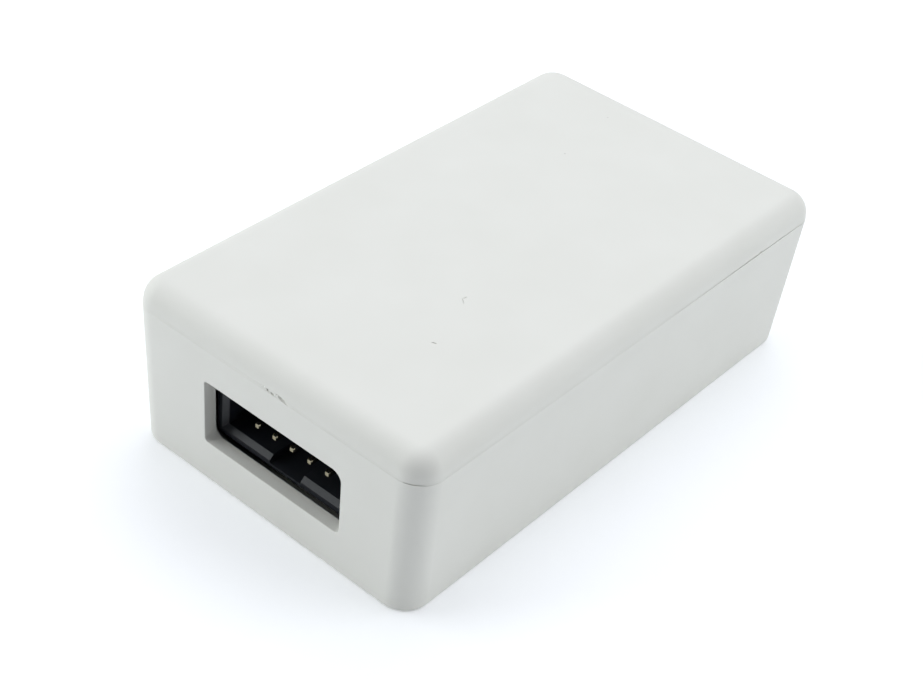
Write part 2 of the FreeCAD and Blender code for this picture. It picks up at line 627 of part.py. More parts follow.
def gull_wing(width, thickness, reach, shoulder_z):
    """One lead that leaves a body at x = 0, steps down and lies flat on the board."""
    out = reach * 0.3
    down = reach * 0.55
    outline = [(0, shoulder_z), (out, shoulder_z), (down, 0), (reach, 0), (reach, thickness),
               (down + thickness * 0.6, thickness), (out + thickness * 0.6, shoulder_z + thickness),
               (0, shoulder_z + thickness)]
    points = [vec(x, -width / 2, z) for x, z in outline]
    return prism(points, vec(0, width, 0))


def lead_row(count, pitch, edge, lead, turn=0):
    """A row of like leads along one side of a body, turned to that side."""
    leads = []
    for index in range(count):
        one = lead.copy()
        one.translate(vec(edge, (index - (count - 1) / 2) * pitch, 0))
        one.rotate(vec(0, 0, 0), vec(0, 0, 1), turn)
        leads.append(one)
    return leads


def two_rows(lead, row, body_width):
    """Two facing rows of leads, on the sides that a body's width separates."""
    return [one for turn in (0, 180) for one in lead_row(*row, body_width / 2, lead, turn)]


def make_controller_body():
    return on_board(package_body(*CONTROLLER_BODY), CONTROLLER_PLACE)


def make_controller_leads():
    lead = gull_wing(*CONTROLLER_LEAD)
    rows = []
    for turn in (0, 90, 180, 270):
        rows += lead_row(*CONTROLLER_ROW, CONTROLLER_BODY[0] / 2, lead, turn)
    return on_board(Part.makeCompound(rows), CONTROLLER_PLACE)


def make_shifter_body():
    return on_board(package_body(*SHIFTER_BODY), SHIFTER_PLACE)


def make_shifter_leads():
    rows = two_rows(gull_wing(*SHIFTER_LEAD), SHIFTER_ROW, SHIFTER_BODY[0])
    return on_board(Part.makeCompound(rows), SHIFTER_PLACE)


def make_regulator_body():
    return on_board(package_body(*REGULATOR_BODY), REGULATOR_PLACE)


def make_regulator_leads():
    """Three leads on one side and a wide cooling tab on the other."""
    edge = REGULATOR_BODY[0] / 2
    rows = lead_row(*REGULATOR_ROW, edge, gull_wing(*REGULATOR_LEAD))
    rows += lead_row(1, 0, edge, gull_wing(*REGULATOR_TAB), 180)
    return on_board(Part.makeCompound(rows), REGULATOR_PLACE)


def make_guard_body():
    return on_board(package_body(*GUARD_BODY), GUARD_PLACE)


def make_guard_leads():
    rows = two_rows(gull_wing(*GUARD_LEAD), GUARD_ROW, GUARD_BODY[0])
    return on_board(Part.makeCompound(rows), GUARD_PLACE)


def stadium(size, low_z):
    """An upright slab with round ends, drawn about the origin; size is length, width and top."""
    length, width, high_z = size
    z_range = (low_z, high_z)
    straight = (length - width) / 2
    return union([centred_box(0, 0, z_range, 2 * straight, width),
                  upright(-straight, 0, z_range, width / 2), upright(straight, 0, z_range, width / 2)])


def make_crystal_can():
    """Drawn metal can on its rolled flange."""
    flange = stadium(CRYSTAL_FLANGE, 0.0)
    can = stadium(CRYSTAL_CAN, CRYSTAL_FLANGE[2] - 0.1)
    can = can.makeFillet(CRYSTAL_EDGE_RADIUS, edges_at(can, CRYSTAL_CAN[2]))
    return on_board(union([flange, can]), CRYSTAL_PLACE)


def make_crystal_leads():
    z_range = (BOARD_BOTTOM, BOARD_TOP + 1.1)
    return Part.makeCompound([upright(x, y, z_range, CRYSTAL_LEAD_RADIUS) for x, y in crystal_lead_places()])


def make_reservoir_can():
    """Aluminium can with a rolled neck and a rounded end."""
    can = upright(0, 0, (RESERVOIR_SEAT, RESERVOIR_HEIGHT), RESERVOIR_RADIUS)
    can = can.makeFillet(RESERVOIR_EDGE_RADIUS, edges_at(can, RESERVOIR_HEIGHT))
    neck = Part.makeTorus(RESERVOIR_RADIUS + 0.15, RESERVOIR_NECK_RADIUS, vec(0, 0, RESERVOIR_NECK_Z))
    return on_board(can.cut(neck), RESERVOIR_PLACE)


def reservoir_tags(margin=0.0):
    """The two strips under the base, or with a margin the slots that they lie in."""
    start, end, width, thickness = RESERVOIR_TAG
    half = width / 2
    return [box(sorted((side * start, side * (end + margin))), (-half, half), (0.0, thickness))
            for side in (-1, 1)]


def make_reservoir_base():
    """Square plastic foot with two cut corners that mark the positive side."""
    half = RESERVOIR_BASE_HALF
    cut = half - RESERVOIR_BASE_CUT
    outline = [(-half, -half), (cut, -half), (half, -cut), (half, cut), (cut, half), (-half, half)]
    foot = prism([vec(x, y, RESERVOIR_BASE_STANDOFF) for x, y in outline], vec(0, 0, RESERVOIR_BASE_HEIGHT))
    seat = upright(0, 0, (RESERVOIR_SEAT, RESERVOIR_HEIGHT), RESERVOIR_RADIUS)
    return on_board(cut_all(foot, [seat] + reservoir_tags(0.1)), RESERVOIR_PLACE)


def make_reservoir_leads():
    return on_board(Part.makeCompound(reservoir_tags()), RESERVOIR_PLACE)


def make_tantalum_body():
    body = package_body(*TANTALUM_BODY)
    half = TANTALUM_END_WIDTH / 2
    depth = TANTALUM_FOOT_HEIGHT + TANTALUM_GROOVE
    grooves = [box(sorted((side * TANTALUM_FOOT_START, side * 4.0)), (-half, half), (0.0, depth))
               for side in (-1, 1)]
    return on_board(cut_all(body, grooves), TANTALUM_PLACE)


def make_tantalum_ends():
    """Folded tin strips: a foot under each end, and a leg up the end face."""
    ends = []
    half = TANTALUM_END_WIDTH / 2
    for side in (-1, 1):
        foot_x = sorted((side * TANTALUM_FOOT_START, side * TANTALUM_FOOT_END))
        leg_x = sorted((side * (TANTALUM_FOOT_END - TANTALUM_LEG_THICKNESS), side * TANTALUM_FOOT_END))
        ends.append(union([box(foot_x, (-half, half), (0.0, TANTALUM_FOOT_HEIGHT)),
                           box(leg_x, (-half, half), (0.0, TANTALUM_LEG_HEIGHT))]))
    return on_board(Part.makeCompound(ends), TANTALUM_PLACE)


def chip_body(length, width, height, end):
    inset = CHIP_BODY_INSET
    return centred_box(0, 0, (inset, height - inset), length - 2 * end, width - 2 * inset)


def chip_ends(length, width, height, end):
    ends = []
    for side in (-1, 1):
        x_range = sorted((side * (length / 2 - end), side * length / 2))
        ends.append(box(x_range, (-width / 2, width / 2), (0.0, height)))
    return Part.makeCompound(ends)


def group(shape, places):
    return Part.makeCompound([on_board(shape, place) for place in places])


def make_array_body():
    """Four resistors in one chip, between the two rows of castellated ends."""
    length, width, height = ARRAY_BODY
    return centred_box(0, 0, (CHIP_BODY_INSET, height), length, width)


def make_array_ends():
    width, reach = ARRAY_END
    side_y = ARRAY_BODY[1] / 2
    ends = []
    for side in (-1, 1):
        for index in range(4):
            x = (index - 1.5) * ARRAY_PITCH
            y_range = sorted((side * side_y, side * (side_y + reach)))
            ends.append(box((x - width / 2, x + width / 2), y_range, (0.0, ARRAY_BODY[2])))
    return Part.makeCompound(ends)


NODES = {
    "deep_shell": make_deep_shell,
    "name_label": make_name_label,
    "cover": make_cover,
    "circuit_board": make_circuit_board,
    "solder_joints": make_solder_joints,
    "header_housing": make_header_housing,
    "header_upper_pins": lambda: make_header_pins("upper"),
    "header_lower_pins": lambda: make_header_pins("lower"),
    "usb_shell": make_usb_shell,
    "usb_insulator": make_usb_insulator,
    "usb_contacts": make_usb_contacts,
    "power_led": lambda: make_led(-1),
    "power_led_leads": lambda: make_led_leads(-1),
    "status_led": lambda: make_led(1),
    "status_led_leads": lambda: make_led_leads(1),
    "controller_body": make_controller_body,
    "controller_leads": make_controller_leads,
    "level_shifter_body": make_shifter_body,
    "level_shifter_leads": make_shifter_leads,
    "regulator_body": make_regulator_body,
    "regulator_leads": make_regulator_leads,
    "usb_guard_body": make_guard_body,
    "usb_guard_leads": make_guard_leads,
    "crystal_can": make_crystal_can,
    "crystal_leads": make_crystal_leads,
    "reservoir_capacitor_can": make_reservoir_can,
    "reservoir_capacitor_base": make_reservoir_base,
    "reservoir_capacitor_leads": make_reservoir_leads,
    "tantalum_capacitor_body": make_tantalum_body,
    "tantalum_capacitor_ends": make_tantalum_ends,
    "ceramic_capacitor_bodies": lambda: group(chip_body(*CERAMIC_CHIP), CERAMIC_PLACES),
    "ceramic_capacitor_ends": lambda: group(chip_ends(*CERAMIC_CHIP), CERAMIC_PLACES),
    "chip_resistor_bodies": lambda: group(chip_body(*RESISTOR_CHIP), RESISTOR_PLACES),
    "chip_resistor_ends": lambda: group(chip_ends(*RESISTOR_CHIP), RESISTOR_PLACES),
    "resistor_array_bodies": lambda: group(make_array_body(), ARRAY_PLACES),
    "resistor_array_ends": lambda: group(make_array_ends(), ARRAY_PLACES),
    "resettable_fuse_body": lambda: on_board(chip_body(*FUSE_CHIP), FUSE_PLACE),
    "resettable_fuse_ends": lambda: on_board(chip_ends(*FUSE_CHIP), FUSE_PLACE),
    "ferrite_bead_body": lambda: on_board(chip_body(*FERRITE_CHIP), FERRITE_PLACE),
    "ferrite_bead_ends": lambda: on_board(chip_ends(*FERRITE_CHIP), FERRITE_PLACE),
}

os.makedirs("parts", exist_ok=True)
for name, make in NODES.items():
    shape = make()
    print(name, "valid" if shape.isValid() else "NOT VALID", len(shape.Solids), round(shape.Volume, 3))
    shape.exportStep(os.path.join("parts", name + ".step"))
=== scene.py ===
import json
import math
import random
import bpy
import bmesh
from mathutils import Matrix, Vector

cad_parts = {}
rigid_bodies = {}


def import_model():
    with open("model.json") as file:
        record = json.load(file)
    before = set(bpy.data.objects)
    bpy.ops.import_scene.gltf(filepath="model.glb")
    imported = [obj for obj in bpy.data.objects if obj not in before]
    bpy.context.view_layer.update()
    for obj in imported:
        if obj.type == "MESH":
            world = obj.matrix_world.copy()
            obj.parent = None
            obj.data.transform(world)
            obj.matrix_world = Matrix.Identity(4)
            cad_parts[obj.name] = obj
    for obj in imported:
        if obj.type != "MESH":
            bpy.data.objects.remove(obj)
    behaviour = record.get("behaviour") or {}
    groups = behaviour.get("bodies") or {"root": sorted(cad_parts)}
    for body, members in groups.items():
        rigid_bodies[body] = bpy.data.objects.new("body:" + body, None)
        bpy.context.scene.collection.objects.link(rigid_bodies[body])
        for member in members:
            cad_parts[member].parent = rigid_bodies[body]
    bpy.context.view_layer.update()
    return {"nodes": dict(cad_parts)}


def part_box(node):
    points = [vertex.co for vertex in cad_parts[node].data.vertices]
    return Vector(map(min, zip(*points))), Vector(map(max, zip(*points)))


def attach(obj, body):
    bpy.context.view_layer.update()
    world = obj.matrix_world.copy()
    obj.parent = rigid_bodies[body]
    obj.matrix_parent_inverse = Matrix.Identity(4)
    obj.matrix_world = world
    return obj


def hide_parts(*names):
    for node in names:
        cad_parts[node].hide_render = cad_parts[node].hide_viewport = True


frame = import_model()

# ---------- Camera ----------
# A close view down on the header end and the right-hand wall, with the case turned a little
# clockwise in the view. The lens is a short telephoto, so the far end shrinks only a little.
MM = 0.001                      # a millimetre, in metres
CAMERA_AZIMUTH = math.radians(36.09)
CAMERA_ELEVATION = math.radians(38.13)
CAMERA_ROLL = math.radians(7.30)
CAMERA_DISTANCE = 203.6 * MM
CAMERA_LENS = 69.14
CAMERA_OFFSET = (-2.92 * MM, -4.05 * MM)
AIM_HEIGHT = 10.0 * MM

back = Vector((math.sin(CAMERA_AZIMUTH) * math.cos(CAMERA_ELEVATION),
               -math.cos(CAMERA_AZIMUTH) * math.cos(CAMERA_ELEVATION),
               math.sin(CAMERA_ELEVATION)))
level = Vector((math.cos(CAMERA_AZIMUTH), math.sin(CAMERA_AZIMUTH), 0))
upright = back.cross(level)
camera_right = level * math.cos(CAMERA_ROLL) + upright * math.sin(CAMERA_ROLL)
camera_up = upright * math.cos(CAMERA_ROLL) - level * math.sin(CAMERA_ROLL)
camera_place = (back * CAMERA_DISTANCE + camera_right * CAMERA_OFFSET[0]
                + camera_up * CAMERA_OFFSET[1] + Vector((0, 0, AIM_HEIGHT)))
camera = bpy.data.objects.new("camera", bpy.data.cameras.new("camera"))
camera.data.lens = CAMERA_LENS
camera.data.sensor_width = 36.0
camera.data.clip_start = 0.01
camera.matrix_world = Matrix((camera_right, camera_up, back)).transposed().to_4x4()
camera.location = camera_place
bpy.context.scene.collection.objects.link(camera)
bpy.context.scene.camera = camera

# ---------- Bench and light ----------
# A sheet of white card inside a light tent: one large soft panel overhead, one on each side and
# one behind. The camera side has no panel, so an edge that faces the camera is darker.
BENCH_SIZE = 0.9                # the card ends before the foot of the side panels
CARD_FIBRE = MM / 0.9
BENCH_GLOW = 0.180              # the table of the tent is lit a little from below
BENCH_GAP = 0.02 * MM            # keeps the card's face just clear of the case's base
TENT_WHITE = "F3F7FF"
TENT_GLOW = 0.005


def linear(hex_colour):
    """An sRGB hex colour as linear red, green, blue and alpha."""
    channels = [int(hex_colour[i:i + 2], 16) / 255 for i in (0, 2, 4)]
    return [c / 12.92 if c <= 0.04045 else ((c + 0.055) / 1.055) ** 2.4 for c in channels] + [1.0]


def add_node(tree, kind, settings=None, links=None):
    """Adds one node; settings are its properties or input values, links its inputs' sources."""
    node = tree.nodes.new(kind)
    for key, value in (settings or {}).items():
        if isinstance(key, str) and hasattr(node, key):
            setattr(node, key, value)
        else:
            node.inputs[key].default_value = value
    for key, source in (links or {}).items():
        tree.links.new(source, node.inputs[key])
    return node


def new_material(name, settings=None):
    """A material with its shader, set up, and its output; returns it, its tree and the shader."""
    material = bpy.data.materials.new(name)
    material.use_nodes = True
    tree = material.node_tree
    tree.nodes.clear()
    shader = add_node(tree, "ShaderNodeBsdfPrincipled", settings)
    add_node(tree, "ShaderNodeOutputMaterial", links={"Surface": shader.outputs[0]})
    return material, tree, shader


def clouded(tree, shader, light, deep, size, detail=2.0):
    """Colours a shader in clouds of a given size that drift between two shades.

    Returns the place on the piece, the clouds and the colour, for more nodes to use.
    """
    place = add_node(tree, "ShaderNodeTexCoord").outputs["Object"]
    clouds = add_node(tree, "ShaderNodeTexNoise", {"Scale": 1 / size, "Detail": detail},
                      {"Vector": place})
    shade = add_node(tree, "ShaderNodeMix", {"data_type": "RGBA", 6: linear(light),
                                             7: linear(deep)}, {0: clouds.outputs["Fac"]})
    tree.links.new(shade.outputs[2], shader.inputs["Base Color"])
    return place, clouds.outputs["Fac"], shade.outputs[2]


def mesh_piece(name, mesh, material, body=None, slot=None, replaced=()):
    """Puts a finished mesh in the scene with its material, under its body, and hides the nodes it
    replaces.
    """
    piece = bpy.data.objects.new(name, mesh)
    bpy.context.scene.collection.objects.link(piece)
    piece.data.materials.clear()
    piece.data.materials.append(material)
    if body:
        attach(piece, body)
    if replaced:
        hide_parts(*replaced)
    return piece


# White card: dead matt, with the faintest drift of tone between its fibres.
bench_card, tree, shader = new_material("white_card", {"Roughness": 0.9, "Specular IOR Level": 0.2,
                                                       "Emission Color": linear("FBFDFF"),
                                                       "Emission Strength": BENCH_GLOW})
clouded(tree, shader, "F7F8FA", "F4F6F9", CARD_FIBRE, 3.0)
from_below = add_node(tree, "ShaderNodeNewGeometry").outputs["Backfacing"]
clear = add_node(tree, "ShaderNodeBsdfTransparent")
either = add_node(tree, "ShaderNodeMixShader", links={0: from_below, 1: shader.outputs[0],
                                                       2: clear.outputs[0]})
tree.links.new(either.outputs[0], tree.nodes["Material Output"].inputs["Surface"])

bench_mesh = bpy.data.meshes.new("bench")
half = BENCH_SIZE / 2
bench_mesh.from_pydata([(x * half, y * half, -BENCH_GAP)
                        for x, y in ((-1, -1), (1, -1), (1, 1), (-1, 1))], [], [(0, 1, 2, 3)])
mesh_piece("bench", bench_mesh, bench_card)


def soft_panel(name, direction, distance, size, power, colour):
    """One square panel of the tent, facing the object."""
    light = bpy.data.lights.new(name, "AREA")
    light.shape = "SQUARE"
    light.size = size
    light.energy = power
    light.color = linear(colour)[:3]
    panel = bpy.data.objects.new(name, light)
    towards = Vector(direction).normalized()
    panel.location = towards * distance
    panel.rotation_euler = towards.to_track_quat("Z", "Y").to_euler()
    bpy.context.scene.collection.objects.link(panel)


soft_panel("panel_over", (0.0, 0.15, 1.0), 0.60, 0.80, 4.00, "F8FAFF")
soft_panel("panel_left", (-0.81, -0.59, 0.35), 0.60, 0.50, 2.32, "FAFEFD")
soft_panel("panel_right", (0.81, 0.59, 0.35), 0.60, 0.50, 1.40, "F7FBFA")
soft_panel("panel_rear", (-0.59, 0.81, 0.6), 0.60, 0.50, 0.70, "F8FAFF")
world = bpy.data.worlds.new("tent")
world.use_nodes = True
tree = world.node_tree
seen = add_node(tree, "ShaderNodeLightPath").outputs["Is Camera Ray"]
strength = add_node(tree, "ShaderNodeMapRange", {"To Min": TENT_GLOW, "To Max": 1.15},
                    {"Value": seen})
tree.nodes["Background"].inputs["Color"].default_value = linear(TENT_WHITE)
tree.links.new(strength.outputs[0], tree.nodes["Background"].inputs["Strength"])
bpy.context.scene.world = world
bpy.context.scene.view_settings.view_transform = "Standard"

# ---------- Deep shell ----------
# The tray that stands on the bench, injection moulded in light warm grey ABS 1.6 mm thick. The
# mould leaves 1.7 degrees of draft, a fine spark-eroded texture and crisp but not sharp port edges.
ABS_GREY = "E5E5E0"
ABS_GREY_DEEP = "DFDFD9"
GRAIN = 0.22 * MM               # the real grain is finer; it is drawn this coarse so that it shows
FLOW_MARK = 9 * MM              # the pale and deep clouds left by the melt as it fills the mould
SPECK_SPACING = 7.7 * MM        # about this far apart lie tiny dark inclusions
SPECK_SHARE = 0.012             # the radius of one, as a share of that spacing
WALL = 1.6 * MM
FLOOR = 1.8 * MM
CORNER = 3.2 * MM
LIP = 0.8 * MM
REBATE = 1.2 * MM
DRAFT = 0.55 * MM
shell_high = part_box("deep_shell")[1]
PARTING = shell_high.z
CASE_HALF = (shell_high.x, shell_high.y)


def moulded_abs(name, light, deep):
    """Moulded ABS: flow-mottled colour, matt grain, and a scatter of tiny dark inclusions."""
    material, tree, shader = new_material(name, {"IOR": 1.53, "Specular IOR Level": 0.35})
    place, _, mottle = clouded(tree, shader, light, deep, FLOW_MARK)
    cells = add_node(tree, "ShaderNodeTexVoronoi", {"Scale": 1 / SPECK_SPACING}, {"Vector": place})
    speck = add_node(tree, "ShaderNodeMath", {"operation": "LESS_THAN", 1: SPECK_SHARE},
                     {0: cells.outputs["Distance"]})
    spotted = add_node(tree, "ShaderNodeMix", {"data_type": "RGBA", 7: linear("BDBCB5")},
                       {0: speck.outputs[0], 6: mottle})
    tree.links.new(spotted.outputs[2], shader.inputs["Base Color"])
    grain = add_node(tree, "ShaderNodeTexNoise",
                     {"Scale": 1 / GRAIN, "Detail": 4.0, "Roughness": 0.6}, {"Vector": place})
    gloss = add_node(tree, "ShaderNodeMapRange", {"To Min": 0.50, "To Max": 0.62},
                     {"Value": grain.outputs["Fac"]})
    tree.links.new(gloss.outputs[0], shader.inputs["Roughness"])
    bump = add_node(tree, "ShaderNodeBump", {"Strength": 0.12, "Distance": 0.02 * MM},
                    {"Height": grain.outputs["Fac"]})
    tree.links.new(bump.outputs[0], shader.inputs["Normal"])
    return material


# Satin warm grey, even in tone, with soft broad highlights along the rounded edges.
abs_grey = moulded_abs("moulded_grey_abs", ABS_GREY, ABS_GREY_DEEP)


def rounded_outline(half_x, half_y, radii, steps=12):
    """Points anticlockwise round a rectangle with round corners, of one radius or of four."""
    points = []
    radii = radii if isinstance(radii, tuple) else (radii,) * 4
    for quarter, (side, end) in enumerate(((1, 1), (-1, 1), (-1, -1), (1, -1))):
        radius = radii[quarter]
        for step in range(steps + 1):
            angle = math.radians(90 * (quarter + step / steps))
            points.append((side * (half_x - radius) + radius * math.cos(angle),
                           end * (half_y - radius) + radius * math.sin(angle)))
    return points


def skinned(loops):
    """A closed solid through a row of loops of points, capped at both ends."""
    bm = bmesh.new()
    rows = [[bm.verts.new(point) for point in loop] for loop in loops]
    for lower, upper in zip(rows, rows[1:]):
        for i in range(len(lower)):
            j = (i + 1) % len(lower)
            bm.faces.new((lower[i], lower[j], upper[j], upper[i]))
    bm.faces.new(list(reversed(rows[0])))
    bm.faces.new(rows[-1])
    bmesh.ops.recalc_face_normals(bm, faces=bm.faces)
    return bm


def loft(rings, placed=lambda x, y, level: (x, y, level)):
    """A closed solid through rings of (half x, half y, corner radius, level)."""
    return skinned([[placed(x, y, level) for x, y in rounded_outline(half_x, half_y, radius)]
                    for half_x, half_y, radius, level in rings])


def arc_rings(outline, radius, corner, level, start, end, steps, sign=1):
    """Rings round an edge: the outline drawn in by a quarter circle between two angles."""
    rings = []
    for step in range(steps + 1):
        angle = math.radians(start + (end - start) * step / steps)
        inward = radius * (1 - math.cos(angle))
        rings.append((outline[0] - inward, outline[1] - inward, max(corner - inward, 0.05 * MM),
                      level + sign * radius * math.sin(angle)))
    return rings


def outline_at(height, inward=0.0):
    """Half the case's width and length at a height, less a distance inwards."""
    lean = DRAFT * (1 - height / PARTING)
    return (CASE_HALF[0] - lean - inward, CASE_HALF[1] - lean - inward)


def ring(outline, radius, height):
    return (outline[0], outline[1], radius, height)


def to_mesh(bm, name):
    mesh = bpy.data.meshes.new(name)
    bm.to_mesh(mesh)
    bm.free()
    return mesh


def applied(mesh, kind, settings):
    """A mesh with one modifier applied; settings are its properties, or a tree's inputs."""
    work = bpy.data.objects.new("work", mesh)
    bpy.context.scene.collection.objects.link(work)
    modifier = work.modifiers.new("work", kind)
    for key, value in settings.items():
        if hasattr(modifier, key):
            setattr(modifier, key, value)
        else:
            modifier[key] = value
    evaluated = work.evaluated_get(bpy.context.evaluated_depsgraph_get())
    result = bpy.data.meshes.new_from_object(evaluated)
    bpy.data.objects.remove(work)
    return result


def joined(first, others, operation):
    """Adds or cuts solids with exact booleans, and returns the resulting mesh."""
    tools = bpy.data.collections.new("tools")
    bpy.context.scene.collection.children.link(tools)
    for bm in others:
        tools.objects.link(bpy.data.objects.new("tool", to_mesh(bm, "tool")))
    mesh = applied(first, "BOOLEAN", {"operand_type": "COLLECTION", "collection": tools,
                                      "operation": operation, "solver": "EXACT",
                                      "use_self": operation == "UNION"})
    for tool in list(tools.objects):
        bpy.data.objects.remove(tool)
    bpy.data.collections.remove(tools)
    return mesh


def shade_smooth(mesh, angle=35):
    """Smooth shading that keeps real edges and weighs each normal by its faces' areas."""
    mesh.shade_smooth()
    mesh.set_sharp_from_angle(angle=math.radians(angle))
    return applied(mesh, "WEIGHTED_NORMAL", {"keep_sharp": True, "weight": 100})


def block(low, high):
    """A plain rectangular solid for cutting or joining."""
    bm = bmesh.new()
    bmesh.ops.create_cube(bm, size=1.0)
    low, high = Vector(low), Vector(high)
    for vert in bm.verts:
        vert.co = Vector((low[i] + (vert.co[i] + 0.5) * (high[i] - low[i]) for i in range(3)))
    return bm


def turned(profile, centre, axis="Z", segments=40):
    """A solid of revolution from (radius, height) points, closed at its ends."""
    loops = []
    for radius, height in profile:
        loop = []
        for i in range(segments):
            angle = 2 * math.pi * i / segments
            x, y = radius * math.cos(angle), radius * math.sin(angle)
            point = {"Z": (x, y, height), "Y": (x, height, -y)}[axis]
            loop.append(Vector(point) + Vector(centre))
        loops.append(loop)
    return skinned(loops)


PORT_EDGE = 0.08 * MM  # the polished steel insert leaves this radius on a port's outer edge


def port_cutter(x, z, width, height, radius, end, tight=(1, 1, 1, 1)):
    """A cutter through an end wall, flared at the port's outer edge; tight sharpens its corners."""

    def ring_at(depth, grow, share):
        radii = tuple(radius * (1 + (part - 1) * share) + grow for part in tight)
        return (width / 2 + grow, height / 2 + grow, radii, depth)

    rings = [ring_at(-1.0 * MM, PORT_EDGE, 1)]
    for step in range(5):
        angle = math.radians(4 + 86 * step / 4)
        depth, grow = PORT_EDGE * (1 - math.cos(angle)), PORT_EDGE * (1 - math.sin(angle))
        rings.append(ring_at(depth, grow, 1))
    for step in range(1, 4):
        rings.append(ring_at(PORT_EDGE + WALL * step / 3, 0, 1 - step / 3))
    rings.append(ring_at(WALL + 0.8 * MM, 0, 0))

    def placed(across, up, depth):
        level = z + up
        return (x + across, end * (outline_at(level)[1] - depth), level)

    return loft(rings, placed)


POST_ACROSS = 15.2 * MM
POST_ALONG = 29.5 * MM
POST_PLACES = [(side * POST_ACROSS, end * POST_ALONG) for side in (-1, 1) for end in (-1, 1)]
BOARD_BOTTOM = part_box("circuit_board")[0].z
BOARD_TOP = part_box("circuit_board")[1].z
LABEL_HALF = (14.4 * MM, 25.4 * MM)
LABEL_RECESS = 0.3 * MM
BASE_EDGE = 0.4 * MM
RIM_EDGE = 0.05 * MM

rings = [(LABEL_HALF[0], LABEL_HALF[1], 1.9 * MM, LABEL_RECESS),
         (LABEL_HALF[0], LABEL_HALF[1], 1.9 * MM, 0.0)]
rings += reversed(arc_rings(outline_at(BASE_EDGE), BASE_EDGE, CORNER, BASE_EDGE, 0, 90, 6, -1))
rings += arc_rings(outline_at(PARTING), RIM_EDGE, CORNER, PARTING - RIM_EDGE, 0, 90, 3)
rings += [ring(outline_at(PARTING, LIP - RIM_EDGE), CORNER - LIP, PARTING),
          ring(outline_at(PARTING, LIP), CORNER - LIP, PARTING - RIM_EDGE),
          ring(outline_at(PARTING, LIP), CORNER - LIP, PARTING - REBATE),
          ring(outline_at(PARTING, WALL - RIM_EDGE), CORNER - WALL, PARTING - REBATE),
          ring(outline_at(PARTING - REBATE, WALL), CORNER - WALL, PARTING - REBATE - RIM_EDGE)]
INNER_EDGE = 0.6 * MM
rings += arc_rings(outline_at(FLOOR, WALL), INNER_EDGE, CORNER - WALL, FLOOR + INNER_EDGE, 0, 90, 5,
                   -1)
tray = to_mesh(loft(rings), "tray")

POST_FOOT = FLOOR - 0.3 * MM
WEB_TOP = 10.0 * MM
WEB = 0.9 * MM
LEDGE_REACH = 0.8 * MM
LEDGE_ALONG = 10 * MM
LEDGE_WIDTH = 1.2 * MM
PIN_TOP = 16.9 * MM
stiffeners = []
for x, y in POST_PLACES:
    side, end = math.copysign(1, x), math.copysign(1, y)
    wall_x, wall_y = outline_at(WEB_TOP, WALL - 0.3 * MM)
    stiffeners.append(turned([(3.0 * MM, POST_FOOT), (3.0 * MM, FLOOR),
                              (2.5 * MM, FLOOR + 0.15 * MM), (2.32 * MM, FLOOR + 0.6 * MM),
                              (2.26 * MM, BOARD_BOTTOM - 0.1 * MM), (2.16 * MM, BOARD_BOTTOM),
                              (1.1 * MM, BOARD_BOTTOM), (1.08 * MM, PIN_TOP - 0.4 * MM),
                              (0.98 * MM, PIN_TOP - 0.15 * MM), (0.7 * MM, PIN_TOP)], (x, y, 0)))
    stiffeners.append(block((min(x, side * wall_x), y - WEB / 2, POST_FOOT),
                            (max(x, side * wall_x), y + WEB / 2, WEB_TOP)))
    stiffeners.append(block((x - WEB / 2, min(y, end * wall_y), POST_FOOT),
                            (x + WEB / 2, max(y, end * wall_y), WEB_TOP)))
for side in (-1, 1):
    wall_x = outline_at(BOARD_BOTTOM, WALL - 0.3 * MM)[0]
    near_x, far_x = sorted((side * wall_x, side * (wall_x - LEDGE_REACH - 0.2 * MM)))
    for y in (-LEDGE_ALONG, LEDGE_ALONG):
        stiffeners.append(block((near_x, y - LEDGE_WIDTH / 2, POST_FOOT),
                                (far_x, y + LEDGE_WIDTH / 2, BOARD_BOTTOM)))
tray = joined(tray, stiffeners, "UNION")

HEADER_LOW, HEADER_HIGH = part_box("header_housing")
USB_LOW, USB_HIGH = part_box("usb_shell")
header_x = (HEADER_LOW.x + HEADER_HIGH.x) / 2
usb_z = (USB_LOW.z + BOARD_BOTTOM) / 2
# Each port: the place of its middle across and up, its width, height and corner radius.
WINDOW = (header_x, 9.62 * MM, 19.55 * MM, 8.36 * MM, 1.3 * MM)
WINDOW_TIGHT = (1.0, 0.3, 0.35, 0.5)  # its outer corners, from the upper right, by shares of that
REAR_PORT = (0.0, usb_z, 13.4 * MM, 12.2 * MM, 0.8 * MM)
LED_HOLE = 1.7 * MM             # radius
LED_ACROSS = 9.9 * MM
ports = [port_cutter(*WINDOW, -1, WINDOW_TIGHT), port_cutter(*REAR_PORT, 1)]
for lamp in ("power_led", "status_led"):
    low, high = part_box(lamp)
    centre = (math.copysign(LED_ACROSS, high.x), (low.z + high.z) / 2)
    ports.append(port_cutter(centre[0], centre[1], 2 * LED_HOLE, 2 * LED_HOLE, LED_HOLE * 0.999, 1))


def spindle(start, end, size, inward, seed, raggedness=0.25):
    """A ragged spindle along a short line, to cut a scratch or to stand as a burr."""
    random.seed(seed)
    start, end, inward = Vector(start), Vector(end), Vector(inward)
    sideways = (end - start).normalized().cross(inward)
    loops = []
    steps = 12
    for step in range(steps + 1):
        t = step / steps
        girth = size * (math.sin(math.pi * min(max(t, 0.03), 0.97)) ** 0.7)
        girth *= 1 + raggedness * random.uniform(-1.4, 0.6)
        centre = start.lerp(end, t) + sideways * random.uniform(-1, 1) * raggedness * size
        loops.append([centre + girth * (1.3 * math.cos(a) * inward + 0.75 * math.sin(a) * sideways)
                      for a in (math.radians(72 * k) for k in range(5))])
    return skinned(loops)


def on_seam(x, rise, depth=0.0):
    """A point on the front wall, in millimetres across and above the parting line."""
    return (x * MM, -CASE_HALF[1] + depth * MM, PARTING + rise * MM)


